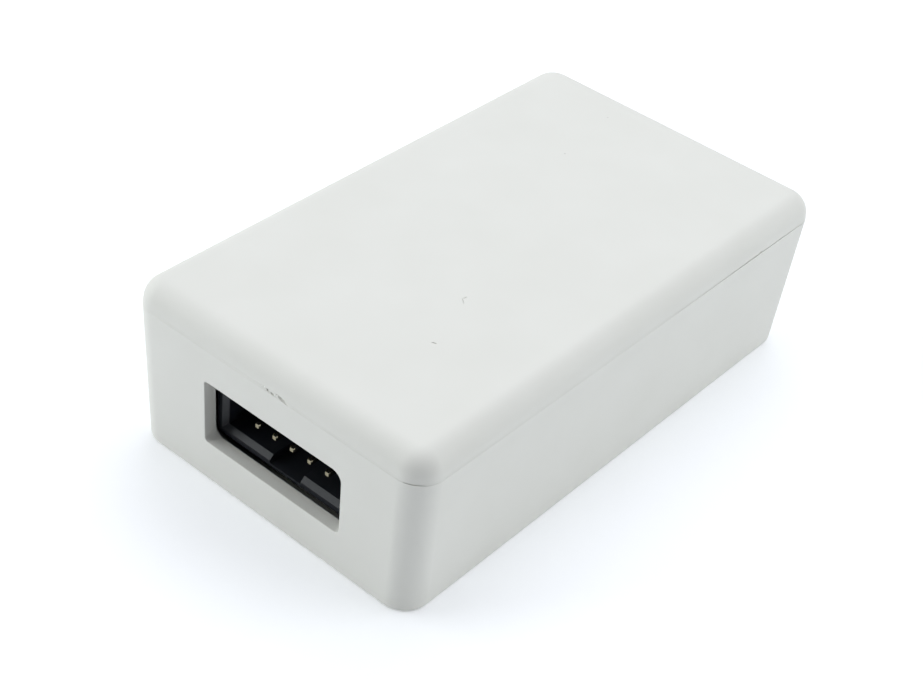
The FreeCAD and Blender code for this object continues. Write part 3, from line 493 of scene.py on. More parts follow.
def pry_marks():
    """The marks that a screwdriver left in both mouldings when the case was last opened."""
    marks = [((0.82, 0.44), (2.80, -0.04), 0.25), ((0.28, 0.20), (0.84, 0.04), 0.22),
             ((-0.34, 0.28), (0.22, 0.14), 0.20), ((-2.3, 0.42), (-1.1, 0.16), 0.08),
             ((-1.2, 0.36), (-0.5, 0.16), 0.06), ((2.9, 0.0), (6.2, 0.0), 0.035)]
    return [spindle(on_seam(*start), on_seam(*end), size * MM, (0, 1, 0), seed)
            for seed, (start, end, size) in enumerate(marks, 3)]


tray = joined(tray, ports + pry_marks(), "DIFFERENCE")
mesh_piece("deep_shell_moulding", shade_smooth(tray), abs_grey, "case_base", "case_plastic",
           ["deep_shell"])

# ---------- Name label ----------
# A blank plate label of satin polyester film, stuck in the shallow recess under the tray, so that
# it never touches the bench. The film shows a faint ripple where the glue below is uneven.
FILM_RIPPLE = 4 * MM
# Pale satin film: a soft sheen that breaks a little over the ripple.
label_film, tree, shader = new_material("satin_polyester_film", {"Roughness": 0.35, "IOR": 1.57})
_, ripple, _ = clouded(tree, shader, "D9DBDD", "CFD2D5", FILM_RIPPLE)
lift = add_node(tree, "ShaderNodeBump", {"Strength": 0.2, "Distance": 0.03 * MM},
                {"Height": ripple})
tree.links.new(lift.outputs[0], shader.inputs["Normal"])


def eased(node, radius, segments=2, angle=30):
    """A copy of a node's solids with their sharp edges eased to a small radius."""
    bm = bmesh.new()
    bm.from_mesh(frame["nodes"][node].data)
    bmesh.ops.remove_doubles(bm, verts=bm.verts, dist=0.002 * MM)
    bmesh.ops.dissolve_limit(bm, angle_limit=math.radians(0.5), verts=bm.verts, edges=bm.edges)
    sharp = [edge for edge in bm.edges
             if len(edge.link_faces) == 2 and edge.calc_face_angle(0) > math.radians(angle)]
    bmesh.ops.bevel(bm, geom=sharp, offset=radius, segments=segments, profile=0.5, affect="EDGES",
                    clamp_overlap=True)
    bmesh.ops.recalc_face_normals(bm, faces=bm.faces)
    return shade_smooth(to_mesh(bm, node))


mesh_piece("blank_label", eased("name_label", 0.03 * MM), label_film, "case_base", "label_film",
           ["name_label"])

# ---------- Circuit board ----------
# A 1.6 mm glass-fibre laminate, routed with rounded corners and covered in green solder mask.
# The weave of the glass cloth shows faintly through the mask as a fine square relief.
GLASS_PITCH = 0.45 * MM
MASK_RELIEF = 0.02 * MM


def solder_mask(name, light, deep):
    """Green epoxy mask: glossy, a little uneven, over the relief of the glass cloth."""
    material, tree, shader = new_material(name)
    place, cloud, _ = clouded(tree, shader, light, deep, 6 * MM, 3.0)
    threads = []
    for direction in ("X", "Y"):
        threads.append(add_node(tree, "ShaderNodeTexWave",
                                {"bands_direction": direction, "Scale": math.pi / 10 / GLASS_PITCH,
                                 "Distortion": 0.4}, {"Vector": place}).outputs["Fac"])
    weave = add_node(tree, "ShaderNodeMath", {"operation": "MULTIPLY"},
                     {0: threads[0], 1: threads[1]})
    bump = add_node(tree, "ShaderNodeBump", {"Strength": 0.25, "Distance": MASK_RELIEF},
                    {"Height": weave.outputs[0]})
    tree.links.new(bump.outputs[0], shader.inputs["Normal"])
    gloss = add_node(tree, "ShaderNodeMapRange", {"To Min": 0.22, "To Max": 0.36}, {"Value": cloud})
    tree.links.new(gloss.outputs[0], shader.inputs["Roughness"])
    return material


# Deep bottle green with a wet gloss that wavers from place to place.
green_mask = solder_mask("green_mask_over_laminate", "1C5A33", "164B2A")
mesh_piece("board_laminate", eased("circuit_board", 0.05 * MM, 1), green_mask, "board_assembly",
           "board_laminate", ["circuit_board"])

# ---------- Tracks and printed outlines ----------
# Copper 0.035 mm thick stands under the mask as paler raised tracks, with corners cut at 45
# degrees. White epoxy ink is screened over the mask to outline the larger parts.
COPPER = 0.035 * MM
INK = 0.02 * MM
TRACK_WIDTH = 0.32 * MM
POWER_TRACK_WIDTH = 0.8 * MM
INK_WIDTH = 0.18 * MM
# The same mask looks paler and yellower where bright copper lies under it.
masked_copper = solder_mask("green_mask_over_copper", "35824C", "2C6F40")
# Chalky off-white ink, thin enough in places for the green to grey it.
white_ink, tree, shader = new_material("screened_white_ink", {"Roughness": 0.55})
clouded(tree, shader, "EEF0EA", "C9D2C6", 0.5 * MM, 3.0)


def node_tree(name, sockets):
    """An empty Geometry Nodes tree with geometry in and out and named inputs."""
    tree = bpy.data.node_groups.new(name, "GeometryNodeTree")
    tree.interface.new_socket("Geometry", in_out="INPUT", socket_type="NodeSocketGeometry")
    tree.interface.new_socket("Geometry", in_out="OUTPUT", socket_type="NodeSocketGeometry")
    for socket, kind in sockets.items():
        tree.interface.new_socket(socket, in_out="INPUT", socket_type="NodeSocket" + kind)
    return tree, tree.nodes.new("NodeGroupInput").outputs


def end_tree(tree, geometry, material):
    """Makes the instances real, gives them their material and joins them to the output."""
    real = add_node(tree, "GeometryNodeRealizeInstances", links={0: geometry})
    finished = add_node(tree, "GeometryNodeSetMaterial", links={"Geometry": real.outputs[0],
                                                               "Material": material})
    add_node(tree, "NodeGroupOutput", links={0: finished.outputs[0]})


def grown(name, mesh, tree, values, angle=35):
    """Runs a tree on a mesh of points or lines and returns the plain mesh that it makes."""
    settings = {"node_group": tree}
    for item in tree.interface.items_tree:
        if item.item_type == "SOCKET" and item.in_out == "INPUT" and item.name in values:
            settings[item.identifier] = values[item.name]
    result = applied(mesh, "NODES", settings)
    result.name = name
    return shade_smooth(result, angle)


def lines_mesh(lines, widths=None):
    """A mesh of open lines; widths, where given, are each point's share of the full width."""
    points, edges = [], []
    for line in lines:
        start = len(points)
        points += [tuple(point) for point in line]
        edges += [(start + i, start + i + 1) for i in range(len(line) - 1)]
    mesh = bpy.data.meshes.new("lines")
    mesh.from_pydata(points, edges, [])
    share = mesh.attributes.new("share", "FLOAT", "POINT")
    share.data.foreach_set("value", widths or [1.0] * len(points))
    return mesh


strip_tree, given = node_tree("laid_strips",
                              {"Width": "Float", "Thickness": "Float", "Bend": "Float",
                               "Edge": "Float", "Material": "Material"})
lines = add_node(strip_tree, "GeometryNodeMeshToCurve", links={0: given["Geometry"]})
share = add_node(strip_tree, "GeometryNodeInputNamedAttribute",
                 {"data_type": "FLOAT", "Name": "share"})
sized = add_node(strip_tree, "GeometryNodeSetCurveRadius", links={"Curve": lines.outputs[0],
                                                                  "Radius": share.outputs[0]})
bends = add_node(strip_tree, "GeometryNodeFilletCurve", {"mode": "POLY", "Count": 5},
                 {"Curve": sized.outputs[0], "Radius": given["Bend"]})
section = add_node(strip_tree, "GeometryNodeCurvePrimitiveQuadrilateral",
                   links={"Width": given["Width"], "Height": given["Thickness"]})
eased_section = add_node(strip_tree, "GeometryNodeFilletCurve", {"mode": "POLY", "Count": 2},
                         {"Curve": section.outputs[0], "Radius": given["Edge"]})
shares = add_node(strip_tree, "GeometryNodeInputNamedAttribute",
                  {"data_type": "FLOAT", "Name": "share"})
strips = add_node(strip_tree, "GeometryNodeCurveToMesh", {"Fill Caps": True},
                  {"Curve": bends.outputs[0], "Profile Curve": eased_section.outputs[0],
                   "Scale": shares.outputs[0]})
end_tree(strip_tree, strips.outputs[0], given["Material"])


def strips_on_board(name, routes, face, width, thickness, material):
    """Lays each route, a short list of (x, y) in millimetres, on a face of the board."""
    lines = [[(x * MM, y * MM, face) for x, y in route] for route in routes]
    mesh = grown(name, lines_mesh(lines), strip_tree,
                 {"Width": width, "Thickness": 2 * thickness, "Bend": 0.35 * MM,
                  "Edge": 0.2 * thickness, "Material": material})
    return mesh_piece(name, mesh, material, "board_assembly", "board_laminate")


def solid_boxes(node):
    """The lowest and highest corner of each separate solid of a node."""
    bm = bmesh.new()
    bm.from_mesh(frame["nodes"][node].data)
    bmesh.ops.remove_doubles(bm, verts=bm.verts, dist=0.002 * MM)
    boxes = []
    left = set(bm.verts)
    while left:
        found = [left.pop()]
        for vert in found:
            for edge in vert.link_edges:
                other = edge.other_vert(vert)
                if other in left:
                    left.remove(other)
                    found.append(other)
        boxes.append((Vector([min(v.co[i] for v in found) for i in range(3)]),
                      Vector([max(v.co[i] for v in found) for i in range(3)])))
    bm.free()
    return sorted(boxes, key=lambda pair: tuple(round(c, 6) for c in pair[0]))


def frame_line(low, high, grow=0.0):
    """A closed rectangle, in millimetres, round a box."""
    low_x, low_y = low.x / MM - grow, low.y / MM - grow
    high_x, high_y = high.x / MM + grow, high.y / MM + grow
    return [(low_x + 0.6, low_y), (high_x, low_y), (high_x, high_y), (low_x, high_y),
            (low_x, low_y), (low_x + 0.6, low_y)]


PITCH = 2.54
pin_rows = sorted({round((low.y + high.y) / 2 / MM, 2) for low, high in solid_boxes("solder_joints")
                   if high.y < -18 * MM})
far_row, near_row = pin_rows[0], pin_rows[-1]
columns = [header_x / MM + (column - 2) * PITCH for column in range(5)]
signal_routes = []
for column, x in enumerate(columns):
    jog = 3.0 - 1.1 * column
    run_y = -12.0 + 1.1 * abs(column - 2)
    signal_routes.append([(x, near_row), (x, run_y - abs(jog)), (x - jog, run_y),
                          (x - jog, 3.0 + 1.2 * column)])
signal_routes += [
    [(-1.25, 19.9), (-1.25, 16.5), (-3.1, 14.6), (-3.1, 10.6)],
    [(1.25, 19.9), (1.25, 15.6), (4.2, 12.6), (4.2, 10.9)],
    [(-8.63, 25.4), (-8.63, 18.6), (-6.9, 16.9), (-6.9, 5.5)],
    [(8.63, 25.4), (8.63, 19.4), (7.1, 17.9), (7.1, 3.2)],
    [(9.2, -3.0), (11.6, -5.4), (11.6, -12.0), (9.4, -14.2)],
    [(-9.4, -14.0), (-11.4, -12.0), (-11.4, -4.6), (-9.6, -2.8)],
    [(10.4, 0.4), (12.3, 2.3), (12.3, 7.4)],
    [(-12.6, -0.4), (-12.6, 5.0), (-10.4, 7.2)],
]
power_routes = [
    [(columns[-1], far_row), (columns[-1] + 1.8, far_row - 1.8), (12.0, far_row - 1.8),
     (14.6, -21.5), (14.6, 21.9), (11.17, 25.4)],
    [(columns[0], far_row), (columns[0] - 1.8, far_row - 1.8), (-11.4, far_row - 1.8),
     (-14.6, -20.9), (-14.6, 21.9), (-11.17, 25.4)],
    [(-14.6, 12.5), (-10.4, 12.5)],
    [(14.6, 9.5), (10.2, 9.5)],
]


def fan_out(node, axis, count, pitch, reach, spread):
    """Short tracks from both rows of a chip's leads: straight out, then splayed."""
    low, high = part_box(node)
    middle = (low + high) / 2 / MM
    routes = []
    for side in (-1, 1):
        toe = ((high if side > 0 else low)[axis]) / MM - side * 0.2
        for index in range(count):
            offset = (index - (count - 1) / 2) * pitch
            run = reach + 0.45 * (index % 3)
            route = []
            for out, across in ((0, offset), (run, offset),
                                (run + abs(offset) * spread, offset * (1 + spread))):
                point = [0, 0]
                point[axis] = toe + side * out
                point[1 - axis] = middle[1 - axis] + across
                route.append(tuple(point))
            routes.append(route)
    return routes


part_side_routes = fan_out("controller_leads", 0, 8, 0.8, 0.7, 0.4)
part_side_routes += fan_out("controller_leads", 1, 8, 0.8, 0.7, 0.4)
part_side_routes += fan_out("level_shifter_leads", 1, 7, 1.27, 0.6, 0.15)
part_side_power = [
    [(12.2, 12.6), (12.2, 15.6), (14.4, 17.8), (14.4, 24.0), (11.6, 26.8)],
    [(9.9, 6.2), (9.9, 3.4), (12.6, 0.7), (12.6, -6.8), (10.0, -9.4), (10.0, -21.0)],
    [(-11.6, 5.0), (-11.6, 1.8), (-8.6, -1.2), (-8.6, -8.4)],
    [(-11.6, 12.0), (-11.6, 22.4), (-8.4, 25.6), (-8.4, 28.0), (8.4, 28.0)],
    [(-5.6, -16.8), (-5.6, -19.6), (5.6, -19.6), (5.6, -16.8)],
]
strips_on_board("part_side_tracks", part_side_routes, BOARD_BOTTOM, TRACK_WIDTH, COPPER,
                masked_copper)
strips_on_board("part_side_power", part_side_power, BOARD_BOTTOM, POWER_TRACK_WIDTH, COPPER,
                masked_copper)
strips_on_board("signal_tracks", signal_routes, BOARD_TOP, TRACK_WIDTH, COPPER, masked_copper)
strips_on_board("power_tracks", power_routes, BOARD_TOP, POWER_TRACK_WIDTH, COPPER, masked_copper)

header_outline = frame_line(Vector((HEADER_LOW.x, HEADER_LOW.y + 0.6 * MM, 0)), HEADER_HIGH)
usb_outline = frame_line(USB_LOW, Vector((USB_HIGH.x, USB_HIGH.y - 0.6 * MM, 0)), 0.6)
crystal_outline = frame_line(*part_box("crystal_can"), 0.3)
strips_on_board("printed_outlines", [header_outline, usb_outline, crystal_outline], BOARD_TOP,
                INK_WIDTH, INK, white_ink)
part_outlines = [frame_line(*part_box(node), grow) for node, grow in (
    ("controller_leads", 0.3), ("level_shifter_leads", 0.3), ("regulator_leads", 0.3),
    ("crystal_can", 0.4), ("reservoir_capacitor_base", 0.5), ("tantalum_capacitor_body", 0.5),
    ("resettable_fuse_ends", 0.4), ("ferrite_bead_ends", 0.4))]
strips_on_board("part_outlines", part_outlines, BOARD_BOTTOM, INK_WIDTH, INK, white_ink)

# ---------- Vias and test pads ----------
# Small plated holes carry the tracks through the board. Each stands as a ring of copper; the bare
# test pads are tinned by the same dip that finishes the rest of the board.
VIA_RADIUS = 0.34 * MM
VIA_RING = 0.2 * MM
TEST_PAD_RADIUS = 0.75 * MM


def plated_metal(name, light, deep, roughness, grain, bump=0.05):
    """Plated or rolled metal: clouded colour and polish, and a fine grain in its surface."""
    material, tree, shader = new_material(name, {"Metallic": 1.0})
    place, cloud, _ = clouded(tree, shader, light, deep, 8 * grain)
    polish = add_node(tree, "ShaderNodeMapRange",
                      {"To Min": roughness * 0.8, "To Max": roughness * 1.25}, {"Value": cloud})
    tree.links.new(polish.outputs[0], shader.inputs["Roughness"])
    texture = add_node(tree, "ShaderNodeTexNoise", {"Scale": 1 / grain, "Detail": 3.0},
                       {"Vector": place})
    relief = add_node(tree, "ShaderNodeBump", {"Strength": bump, "Distance": 0.05 * grain},
                      {"Height": texture.outputs["Fac"]})
    tree.links.new(relief.outputs[0], shader.inputs["Normal"])
    return material


# Bright silvery solder, a little clouded, with soft round highlights.
bright_solder = plated_metal("bright_tin_solder", "DADAD6", "C2C3C2", 0.24, 0.3 * MM, 0.3)
ring_tree, given = node_tree("plated_rings",
                             {"Radius": "Float", "Width": "Float", "Thickness": "Float",
                              "Material": "Material"})
circle = add_node(ring_tree, "GeometryNodeCurvePrimitiveCircle", {"Resolution": 20},
                  {"Radius": given["Radius"]})
section = add_node(ring_tree, "GeometryNodeCurvePrimitiveQuadrilateral",
                   links={"Width": given["Width"], "Height": given["Thickness"]})
shape = add_node(ring_tree, "GeometryNodeCurveToMesh", links={"Curve": circle.outputs[0],
                                                             "Profile Curve": section.outputs[0]})
placed = add_node(ring_tree, "GeometryNodeInstanceOnPoints", links={"Points": given["Geometry"],
                                                                   "Instance": shape.outputs[0]})
end_tree(ring_tree, placed.outputs[0], given["Material"])


def points_mesh(points):
    mesh = bpy.data.meshes.new("points")
    mesh.from_pydata([tuple(point) for point in points], [], [])
    return mesh


track_ends = [route[-1] for route in signal_routes] + [route[0] for route in signal_routes[-4:]]
part_side_ends = track_ends + [route[-1] for route in part_side_routes]
for name, face, ends in (("vias_solder_side", BOARD_TOP, track_ends),
                         ("vias_part_side", BOARD_BOTTOM, part_side_ends)):
    ring_mesh = grown(name, points_mesh([(x * MM, y * MM, face) for x, y in ends]), ring_tree,
                      {"Radius": VIA_RADIUS, "Width": VIA_RING, "Thickness": 2.4 * COPPER,
                       "Material": masked_copper})
    mesh_piece(name, ring_mesh, masked_copper, "board_assembly", "board_laminate")
test_pads = [(x * MM, y * MM, BOARD_TOP)
             for x, y in ((-6.0, -6.4), (-6.0, -9.2), (9.8, 14.2), (-10.2, 0.6))]
pad_mesh = grown("test_pads", points_mesh(test_pads), ring_tree,
                 {"Radius": TEST_PAD_RADIUS / 2, "Width": TEST_PAD_RADIUS,
                  "Thickness": 2.6 * COPPER, "Material": bright_solder})
mesh_piece("test_pads", pad_mesh, bright_solder, "board_assembly", "solder")

# ---------- Solder joints ----------
# Wave-soldered fillets of bright tin alloy: wide on the pad, hollow-sided, thin where they wet the
# pin. The two tabs of the USB socket have longer ones.
JOINT_TIP = 0.42
fillet_tree, given = node_tree("solder_fillets",
                               {"Height": "Float", "Tip": "Float", "Material": "Material"})
top = add_node(fillet_tree, "ShaderNodeCombineXYZ", links={"Z": given["Height"]})
axis = add_node(fillet_tree, "GeometryNodeCurvePrimitiveLine", links={"End": top.outputs[0]})
levels = add_node(fillet_tree, "GeometryNodeResampleCurve", {"mode": "COUNT", "Count": 9},
                  {"Curve": axis.outputs[0]})
along = add_node(fillet_tree, "GeometryNodeSplineParameter")
hollow = add_node(fillet_tree, "ShaderNodeMath", {"operation": "SUBTRACT", 0: 1.0},
                  {1: along.outputs["Factor"]})
hollow = add_node(fillet_tree, "ShaderNodeMath", {"operation": "POWER", 1: 2.2},
                  {0: hollow.outputs[0]})
reach = add_node(fillet_tree, "ShaderNodeMapRange", {"To Max": 1.0},
                 {"Value": hollow.outputs[0], "To Min": given["Tip"]})
circle = add_node(fillet_tree, "GeometryNodeCurvePrimitiveCircle",
                  {"Resolution": 22, "Radius": 1.0})
shape = add_node(fillet_tree, "GeometryNodeCurveToMesh", {"Fill Caps": True},
                 {"Curve": levels.outputs[0], "Profile Curve": circle.outputs[0],
                  "Scale": reach.outputs[0]})
foot = add_node(fillet_tree, "GeometryNodeInputNamedAttribute",
                {"data_type": "FLOAT_VECTOR", "Name": "foot"})
placed = add_node(fillet_tree, "GeometryNodeInstanceOnPoints",
                  links={"Points": given["Geometry"], "Instance": shape.outputs[0],
                         "Scale": foot.outputs[0]})
end_tree(fillet_tree, placed.outputs[0], given["Material"])

joint_boxes = solid_boxes("solder_joints")
joint_points = points_mesh([((low.x + high.x) / 2, (low.y + high.y) / 2, BOARD_TOP)
                            for low, high in joint_boxes])
feet = joint_points.attributes.new("foot", "FLOAT_VECTOR", "POINT")
feet.data.foreach_set("vector", [c for low, high in joint_boxes
                                 for c in ((high.x - low.x) / 2, (high.y - low.y) / 2, 1.0)])
joint_height = joint_boxes[0][1].z - joint_boxes[0][0].z
joint_mesh = grown("soldered_fillets", joint_points, fillet_tree,
                   {"Height": joint_height, "Tip": JOINT_TIP, "Material": bright_solder}, 50)
mesh_piece("soldered_fillets", joint_mesh, bright_solder, "board_assembly", "solder",
           ["solder_joints"])

# ---------- Header shroud ----------
# Glass-filled black PBT, moulded round the pins. Its smooth faces have a slate sheen; the bluish
# cast of it is a painted reflection in the colour, and the mouth is bevelled to lead the plug in,
# with a key groove towards the case's base.
SHROUD_EDGE = 0.1 * MM


def moulded_resin(name, light, deep, roughness, grain=0.25 * MM, bump=0.1):
    """Moulded resin: slightly mottled colour and a matt grain left by the tool."""
    material, tree, shader = new_material(name, {"IOR": 1.55})
    place, _, _ = clouded(tree, shader, light, deep, 10 * grain, 3.0)
    texture = add_node(tree, "ShaderNodeTexNoise", {"Scale": 1 / grain, "Detail": 4.0},
                       {"Vector": place})
    gloss = add_node(tree, "ShaderNodeMapRange",
                     {"To Min": roughness * 0.9, "To Max": roughness * 1.15},
                     {"Value": texture.outputs["Fac"]})
    tree.links.new(gloss.outputs[0], shader.inputs["Roughness"])
    relief = add_node(tree, "ShaderNodeBump", {"Strength": bump, "Distance": 0.1 * grain},
                      {"Height": texture.outputs["Fac"]})
    tree.links.new(relief.outputs[0], shader.inputs["Normal"])
    return material


# Near-black, with a cool cast that is a painted reflection of the bluish skylight; the glass fibres
# leave its faces half matt.
black_pbt_painted_cool_cast = moulded_resin("black_pbt_painted_reflection", "1F232B", "181B22", 0.45)
mesh_piece("header_shroud", eased("header_housing", SHROUD_EDGE, 2), black_pbt_painted_cool_cast, "board_assembly",
           "header_plastic", ["header_housing"])

# ---------- Header pins ----------
# Ten square brass pins 0.64 mm across, flash-plated with gold over nickel, each with a tapered
# tip and one right-angle bend up to the board.
PIN_WIDTH = 0.64 * MM
PIN_TIP_LENGTH = 0.2 * MM       # a blunt chamfer
PIN_BEND = 0.55 * MM
# Pale gold, almost silvery, since the plating is only a flash thick.
gold_plate = plated_metal("flash_gold_over_nickel", "E2DAC0", "D4C9AA", 0.15, 0.2 * MM)


def pin_line(low, high):
    """The middle line of a pin from its tip to its soldered end, from the pin's own box."""
    x, z, bend_y = (low.x + high.x) / 2, low.z + PIN_WIDTH / 2, high.y - PIN_WIDTH / 2
    return [(x, low.y, z), (x, low.y + PIN_TIP_LENGTH, z), (x, bend_y, z), (x, bend_y, high.z)]


for node in ("header_upper_pins", "header_lower_pins"):
    pin_lines = [pin_line(low, high) for low, high in solid_boxes(node)]
    pins = grown(node, lines_mesh(pin_lines, [0.72, 1.0, 1.0, 1.0] * len(pin_lines)), strip_tree,
                 {"Width": PIN_WIDTH, "Thickness": PIN_WIDTH, "Bend": PIN_BEND, "Edge": 0.06 * MM,
                  "Material": gold_plate})
    mesh_piece("bent_" + node, pins, gold_plate, "board_assembly", "gold_plate", [node])

# ---------- USB socket ----------
# A square socket: a can folded from 0.35 mm nickel-plated steel, with spring fingers cut in its
# sides, round a white thermoplastic block whose tongue carries four gold-plated strips.
SHEET_EDGE = 0.05 * MM
# Warm bright grey sheet that mirrors its surroundings softly, and a plain milky plastic.
nickel_sheet = plated_metal("bright_nickel_on_steel", "CFCCC6", "BAB7B1", 0.22, 0.5 * MM)
white_thermoplastic = moulded_resin("white_thermoplastic", "E9E8E2", "DFDED6", 0.42)
mesh_piece("folded_can", eased("usb_shell", SHEET_EDGE), nickel_sheet, "board_assembly",
           "nickel_sheet", ["usb_shell"])
mesh_piece("socket_block", eased("usb_insulator", 0.08 * MM), white_thermoplastic, "board_assembly",
           "socket_plastic", ["usb_insulator"])
mesh_piece("contact_strips", eased("usb_contacts", 0.04 * MM), gold_plate, "board_assembly",
           "gold_plate", ["usb_contacts"])

# ---------- Lamps ----------
# Two 3 mm LEDs cast in tinted, slightly cloudy epoxy, with a flange at the back and a domed tip
# that stands in a hole in the rear wall. Their square leads bend up to the board.
FLANGE_LENGTH = 1.0 * MM
LEAD_WIDTH = 0.5 * MM


def tinted_epoxy(name, light, deep):
    """Clear epoxy with dye and diffusant: bright where thin, cloudy within."""
    material, tree, shader = new_material(name, {"Transmission Weight": 0.45, "IOR": 1.54})
    _, cloud, _ = clouded(tree, shader, light, deep, 1.2 * MM)
    gloss = add_node(tree, "ShaderNodeMapRange", {"To Min": 0.06, "To Max": 0.14}, {"Value": cloud})
    tree.links.new(gloss.outputs[0], shader.inputs["Roughness"])
    return material


def lens(node):
    """A turned flange, barrel and dome, with the flat that marks the cathode."""
    low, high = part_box(node)
    radius = (high.z - low.z) / 2
    barrel = 0.79 * radius
    centre = Vector((math.copysign(LED_ACROSS, high.x), 0, (low.z + high.z) / 2))
    profile = [(radius - 0.08 * MM, low.y), (radius, low.y + 0.08 * MM),
               (radius, low.y + FLANGE_LENGTH - 0.08 * MM),
               (radius - 0.08 * MM, low.y + FLANGE_LENGTH),
               (barrel + 0.08 * MM, low.y + FLANGE_LENGTH),
               (barrel, low.y + FLANGE_LENGTH + 0.08 * MM)]
    for step in range(9):
        angle = math.radians(88 * step / 8)
        profile.append((barrel * math.cos(angle), high.y - barrel + barrel * math.sin(angle)))
    body = to_mesh(turned(profile, centre, "Y"), node)
    flat = block((high.x, low.y - MM, low.z - MM),
                 (high.x + 2 * MM, low.y + FLANGE_LENGTH, high.z + MM))
    return shade_smooth(joined(body, [flat], "DIFFERENCE"))


def square_leads(node, width):
    """Leads that run back from a lamp and bend up to the board."""
    paths = []
    for low, high in solid_boxes(node):
        x, z = (low.x + high.x) / 2, low.z + width / 2
        paths.append([(x, high.y, z), (x, low.y + width / 2, z), (x, low.y + width / 2, high.z)])
    return grown(node, lines_mesh(paths), strip_tree,
                 {"Width": width, "Thickness": width, "Bend": 0.6 * width, "Edge": 0.1 * width,
                  "Material": tinned_steel})


# Matt tin: a plain light grey that only glints at its bends.
tinned_steel = plated_metal("matt_tinned_lead", "D0D0CC", "BBBCBB", 0.32, 0.25 * MM)
for lamp, slot, epoxy in (("power_led", "green_lens",
                           tinted_epoxy("green_epoxy", "6FBF6A", "4FA55A")),
                          ("status_led", "red_lens", tinted_epoxy("red_epoxy", "D0453C",
                                                                  "B5332F"))):
    mesh_piece(lamp + "_lens", lens(lamp), epoxy, "board_assembly", slot, [lamp])
    mesh_piece(lamp + "_wires", square_leads(lamp + "_leads", LEAD_WIDTH), tinned_steel,
               "board_assembly", "tinned_lead", [lamp + "_leads"])

# ---------- Integrated circuits ----------
# A flat-pack microcontroller, a level shifter, a voltage regulator and a port guard, moulded in
# black epoxy with a pin-1 dimple. Their tinned leads are cropped and formed to a gull wing.
BODY_EDGE = 0.05 * MM
# Charcoal and matt, with the even grain of a spark-eroded mould.
black_epoxy = moulded_resin("black_moulding_compound", "26272A", "1D1E21", 0.48, 0.18 * MM, 0.25)


def gull_wings(name, body, thickness):
    """Formed leads, each from its own box: out of the body, down a step, flat on the board."""
    body_low, body_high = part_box(body)
    centre = (body_low + body_high) / 2
    by_width = {}
    for low, high in solid_boxes(name):
        middle = (low + high) / 2
        across = 0 if (low.x > body_high.x - 0.5 * MM or high.x < body_low.x + 0.5 * MM) else 1
        side = 1 if middle[across] > centre[across] else -1
        start, end = (low[across], high[across]) if side > 0 else (high[across], low[across])
        width = round((high - low)[1 - across], 6)
        levels = (low.z + thickness / 2, high.z - thickness / 2)
        path = []
        for share, level in ((-0.1, 0), (0.3, 0), (0.58, 1), (1.0, 1)):
            point = [middle.x, middle.y, levels[level]]
            point[across] = start + (end - start) * share
            path.append(point)
        by_width.setdefault(width, []).append(path)
    bm = bmesh.new()
    for width, paths in by_width.items():
        bm.from_mesh(grown(name, lines_mesh(paths), strip_tree,
                           {"Width": width, "Thickness": thickness, "Bend": 1.2 * thickness,
                            "Edge": 0.15 * thickness, "Material": tinned_steel}))
    return shade_smooth(to_mesh(bm, name))


for chip, thickness in (("controller", 0.14 * MM), ("level_shifter", 0.2 * MM),
                        ("regulator", 0.26 * MM), ("usb_guard", 0.15 * MM)):
    mesh_piece(chip + "_package", eased(chip + "_body", BODY_EDGE), black_epoxy, "board_assembly",
               "chip_epoxy", [chip + "_body"])
    mesh_piece(chip + "_gull_wings", gull_wings(chip + "_leads", chip + "_body", thickness),
               tinned_steel, "board_assembly", "tinned_lead", [chip + "_leads"])

# ---------- Crystal ----------
# A drawn nickel-silver can, welded to the rolled flange of its base, with two round wires.
# Yellowish silver, smooth from drawing, clouded by handling.
crystal_silver = plated_metal("drawn_nickel_silver", "C9C6BD", "B3B0A8", 0.2, 0.6 * MM)
mesh_piece("crystal_case", eased("crystal_can", 0.08 * MM), crystal_silver, "board_assembly",
           "crystal_metal", ["crystal_can"])
mesh_piece("crystal_wires", eased("crystal_leads", 0.04 * MM, 1), tinned_steel, "board_assembly",
           "tinned_lead", ["crystal_leads"])

# ---------- Reservoir capacitor ----------
# A deep-drawn aluminium can, rolled in at the neck to grip its seal, in a square black foot. A
# black segment printed on the can's end marks the negative side.
NECK_DEPTH = 0.32 * MM
can_low, can_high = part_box("reservoir_capacitor_can")
can_centre = (can_low + can_high) / 2
can_radius = (can_high.x - can_low.x) / 2


def overprinted(material, hex_colour, *limits):
    """Prints a colour over a material wherever every (axis, comparison, position) limit holds."""
    tree = material.node_tree
    shader = next(node for node in tree.nodes if node.type == "BSDF_PRINCIPLED")
    shade = next(node for node in tree.nodes if node.type == "MIX")
    place = add_node(tree, "ShaderNodeTexCoord").outputs["Object"]
    where = add_node(tree, "ShaderNodeSeparateXYZ", links={0: place})
    mark = None
    for axis, comparison, position in limits:
        inside = add_node(tree, "ShaderNodeMath", {"operation": comparison, 1: position},
                          {0: where.outputs[axis]})
        if mark:
            inside = add_node(tree, "ShaderNodeMath", {"operation": "MULTIPLY"},
                              {0: mark, 1: inside.outputs[0]})
        mark = inside.outputs[0]
    printed = add_node(tree, "ShaderNodeMix", {"data_type": "RGBA", 7: linear(hex_colour)},
                       {0: mark, 6: shade.outputs[2]})
    tree.links.new(printed.outputs[2], shader.inputs["Base Color"])
    return tree, shader, mark


# White metal with a silky, faintly streaked shine, under a patch of flat black ink.
can_aluminium = plated_metal("drawn_aluminium", "DDDEDF", "CBCDCF", 0.3, 0.4 * MM)
tree, shader, mark = overprinted(can_aluminium, "1E1F22",
                                 ("X", "GREATER_THAN", can_centre.x + 0.45 * can_radius),
                                 ("Z", "LESS_THAN", can_low.z + 0.1 * MM))
bare = add_node(tree, "ShaderNodeMath", {"operation": "SUBTRACT", 0: 1.0}, {1: mark})
tree.links.new(bare.outputs[0], shader.inputs["Metallic"])

